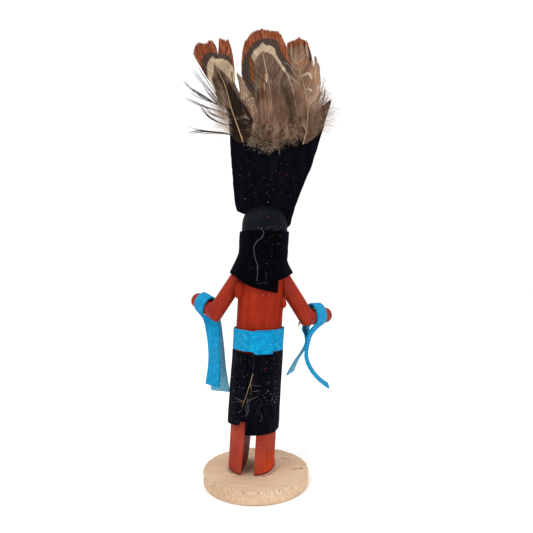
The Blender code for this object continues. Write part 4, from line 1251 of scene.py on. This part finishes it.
def make_cloth_marks(collar, kilt, belt, torso):
    """What lies on the cloth and the board: fibres, strings of glue, painted highlights along the
    collar's creases, lint, specks.
    """
    faint = plain("lint", colour(96, 97, 104), 0.9)
    # One colour for dust on the kilt and for painted highlights along the collar's creases
    dust_and_crease_highlight = plain("dust_and_crease_highlight", colour(48, 47, 52), 0.9)
    barb = [run for line, thick in KILT_BARB for run in laid(kilt, [line], thick, 0.3)]
    make_threads("collar_thread", laid(collar, [COLLAR_THREAD], 0.11), faint, "black_felt")
    make_threads("kilt_barb", barb, plain("fallen_barb", colour(140, 112, 86), 0.7),
                 "pheasant_feather")
    make_threads("kilt_glue_strings", laid(kilt, GLUE_STRINGS, 0.08, 0.6), faint, "black_felt")
    make_threads("kilt_lint", lint(60, -12, 13, 28, 62, kilt) + lint(30, 0, 11, 36, 46, kilt),
                 faint, "black_felt")
    make_threads("kilt_dust", lint(260, -12, 13, 28, 62, kilt), dust_and_crease_highlight, "black_felt")
    # Painted highlights: pale strands along the collar's creases
    make_threads("collar_crease_highlights", laid(collar, COLLAR_CREASE_HIGHLIGHTS, 0.10, 0.5), dust_and_crease_highlight, "black_felt")
    make_threads("collar_lint", lint(26, -4, 12, 100, 120, collar)
                 + lint(40, -2, 13, 121.4, 123.6, torso), faint, "black_felt")
    make_threads("board_lint", lint(46, -10, 20, 138, 164, on_board), faint, "black_felt")
    pale = plain("loose_fibre", colour(150, 150, 156), 0.8)
    make_threads("belt_lint", lint(14, -8, 13, 64, 74, belt), pale, "turquoise_suede")
    white = specks(on_board, BOARD_WHITES, 0.24) + specks(belt, BELT_WHITES, 0.14)
    make_threads("white_specks", white + specks(kilt, KILT_WHITES, 0.11), pale, "black_felt")
    red = specks(on_board, [BOARD_RED]) + specks(kilt, [KILT_RED]) + specks(torso, [DOME_RED])
    make_threads("red_specks", red, plain("red_speck", colour(150, 30, 34), 0.7), "black_felt")
    make_threads("kilt_seam", laid(kilt, [KILT_SEAM], 0.07, 0.7), dust_and_crease_highlight, "black_felt")


def make_paint_marks(kilt, torso):
    """A drip on the legs, a coloured speck, and chips and a nick in the paint."""
    make_threads("leg_marks", laid(torso, LEG_MARKS, 0.07, 0.5),
                 plain("dried_drip", colour(176, 84, 66), 0.6), "painted_wood")
    make_threads("teal_speck", specks(kilt, [KILT_TEAL], 0.18),
                 plain("teal_speck", colour(20, 110, 120), 0.7), "black_felt")
    make_threads("torso_chips", specks(torso, TORSO_CHIPS, 0.26),
                 plain("pale_chip", colour(186, 152, 128), 0.8), "painted_wood")
    make_threads("torso_nick", specks(torso, [TORSO_NICK], 0.22),
                 plain("dark_nick", colour(40, 14, 12), 0.8), "painted_wood")


def make_glue():
    """Glue round the foot and in the armpit, and a painted splinter at the elbow."""
    right = foot_ring(0.0117, [(-62, 6.5), (-50, 6.7), (-36, 7.0), (-20, 7.6), (-4, 8.8),
                               (10, 10.0)])
    left = foot_ring(0.0113, [(188, 6.8), (198, 6.8), (208, 6.8), (218, 6.8)])
    glue = plain("dried_glue", colour(168, 122, 116), 0.18, {"Coat Weight": 0.4})
    make_threads("foot_glue", [thread(right, 0.62, 0.5), thread(left, 0.35, 0.6)], glue,
                 "painted_wood")
    paint = plain("splinter_paint", colour(112, 27, 12), 0.6)
    tip = [seen(21.8, 77.6, -3.0 * MM), seen(21.0, 76.2, -3.4 * MM), seen(20.6, 75.0, -3.6 * MM)]
    make_threads("elbow_splinter", [thread(tip, 0.7, 0.12)], paint, "painted_wood")
    fillet = [seen(x, z, -2.0 * MM) for x, z in ARMPIT_GLUE]
    make_threads("armpit_glue", [thread(fillet, 1.7, 0.25)], paint, "painted_wood")


def make_base_marks():
    """Shade painted along a crack and a dent, painted highlights on torn fibres of the base's rim, and
    painted shade on the rim fibres that stand for pits.
    """
    crack = on_base((16.6, -2.3), (18.6, -2.1), (20.6, -1.8), (22.6, -1.2))
    dent = on_base((12.5, 11.0), (14.7, 10.2), (17.0, 9.2))
    # The crack and dent strands lie in the dents of the base and are painted shade
    make_threads("base_crack", [thread(crack, 0.14, 2.4), thread(dent, 0.16, 0.8)],
                 plain("crack_shade", colour(158, 120, 92), 0.9), "raw_wood")
    torn = [torn_fibre() for _ in range(420)]
    splinter = [Vector((0.0243, 0.001, 0.0062)), Vector((0.0250, 0.002, 0.0069)),
                Vector((0.0249, 0.004, 0.0078))]
    torn.append(thread(splinter, 0.45, 0.2))
    # Two thirds of the rim's fibres are pale as painted highlights; the rest are dark as painted shade
    # in pits
    make_threads("torn_rim_highlights", torn[::3] + torn[1::3],
                 plain("torn_fibre_highlight", colour(231, 212, 188), 0.85), "raw_wood")
    make_threads("rim_pit_shade", torn[2::3],
                 plain("pit_shade", colour(186, 142, 100), 0.9), "raw_wood")


def make_loose_things():
    collar, kilt, belt, torso = (
        partial(over, radius=face) for face in (COLLAR_FACE, KILT_FACE, BELT_FACE, TORSO_FACE))
    make_cloth_marks(collar, kilt, belt, torso)
    make_paint_marks(kilt, torso)
    make_glue()
    make_base_marks()


def make_doll():
    wood = raw_wood()
    felt = black_felt("black_felt", 0.75)
    dark_felt = black_felt("black_collar_felt", 0.32)
    suede = turquoise_suede()
    vane = feather_vane()
    quill = plain("feather_quill", colour(190, 158, 116), 0.45)
    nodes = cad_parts
    make_base(wood)
    paints = {"body": red_paint("body_paint", (0, -LEAN, 0), True)}
    for side, label in ((-1, "left"), (1, "right")):
        for part, aim in (("upper_arm_", shoulder(side) - elbow(side)),
                          ("forearm_", forearm_aim(side))):
            turn = aim.rotation_difference(Vector((0, 0, 1))).to_euler()
            paints[part + label] = red_paint(part + label + "_paint", tuple(turn))
    for node, paint in paints.items():
        nodes[node].data.materials.clear()
        nodes[node].data.materials.append(paint.material)
    make_board(felt)
    make_belt(suede)
    make_kilt(felt)
    make_collar(dark_felt)
    make_ribbon(-1, "left_ribbon_strip", TAILS_LEFT, "ribbon_left", suede)
    make_ribbon(1, "right_ribbon_strip", TAILS_RIGHT, "ribbon_right", suede)
    make_feathers(vane, quill)
    make_loose_things()


make_camera()
make_studio()
make_doll()
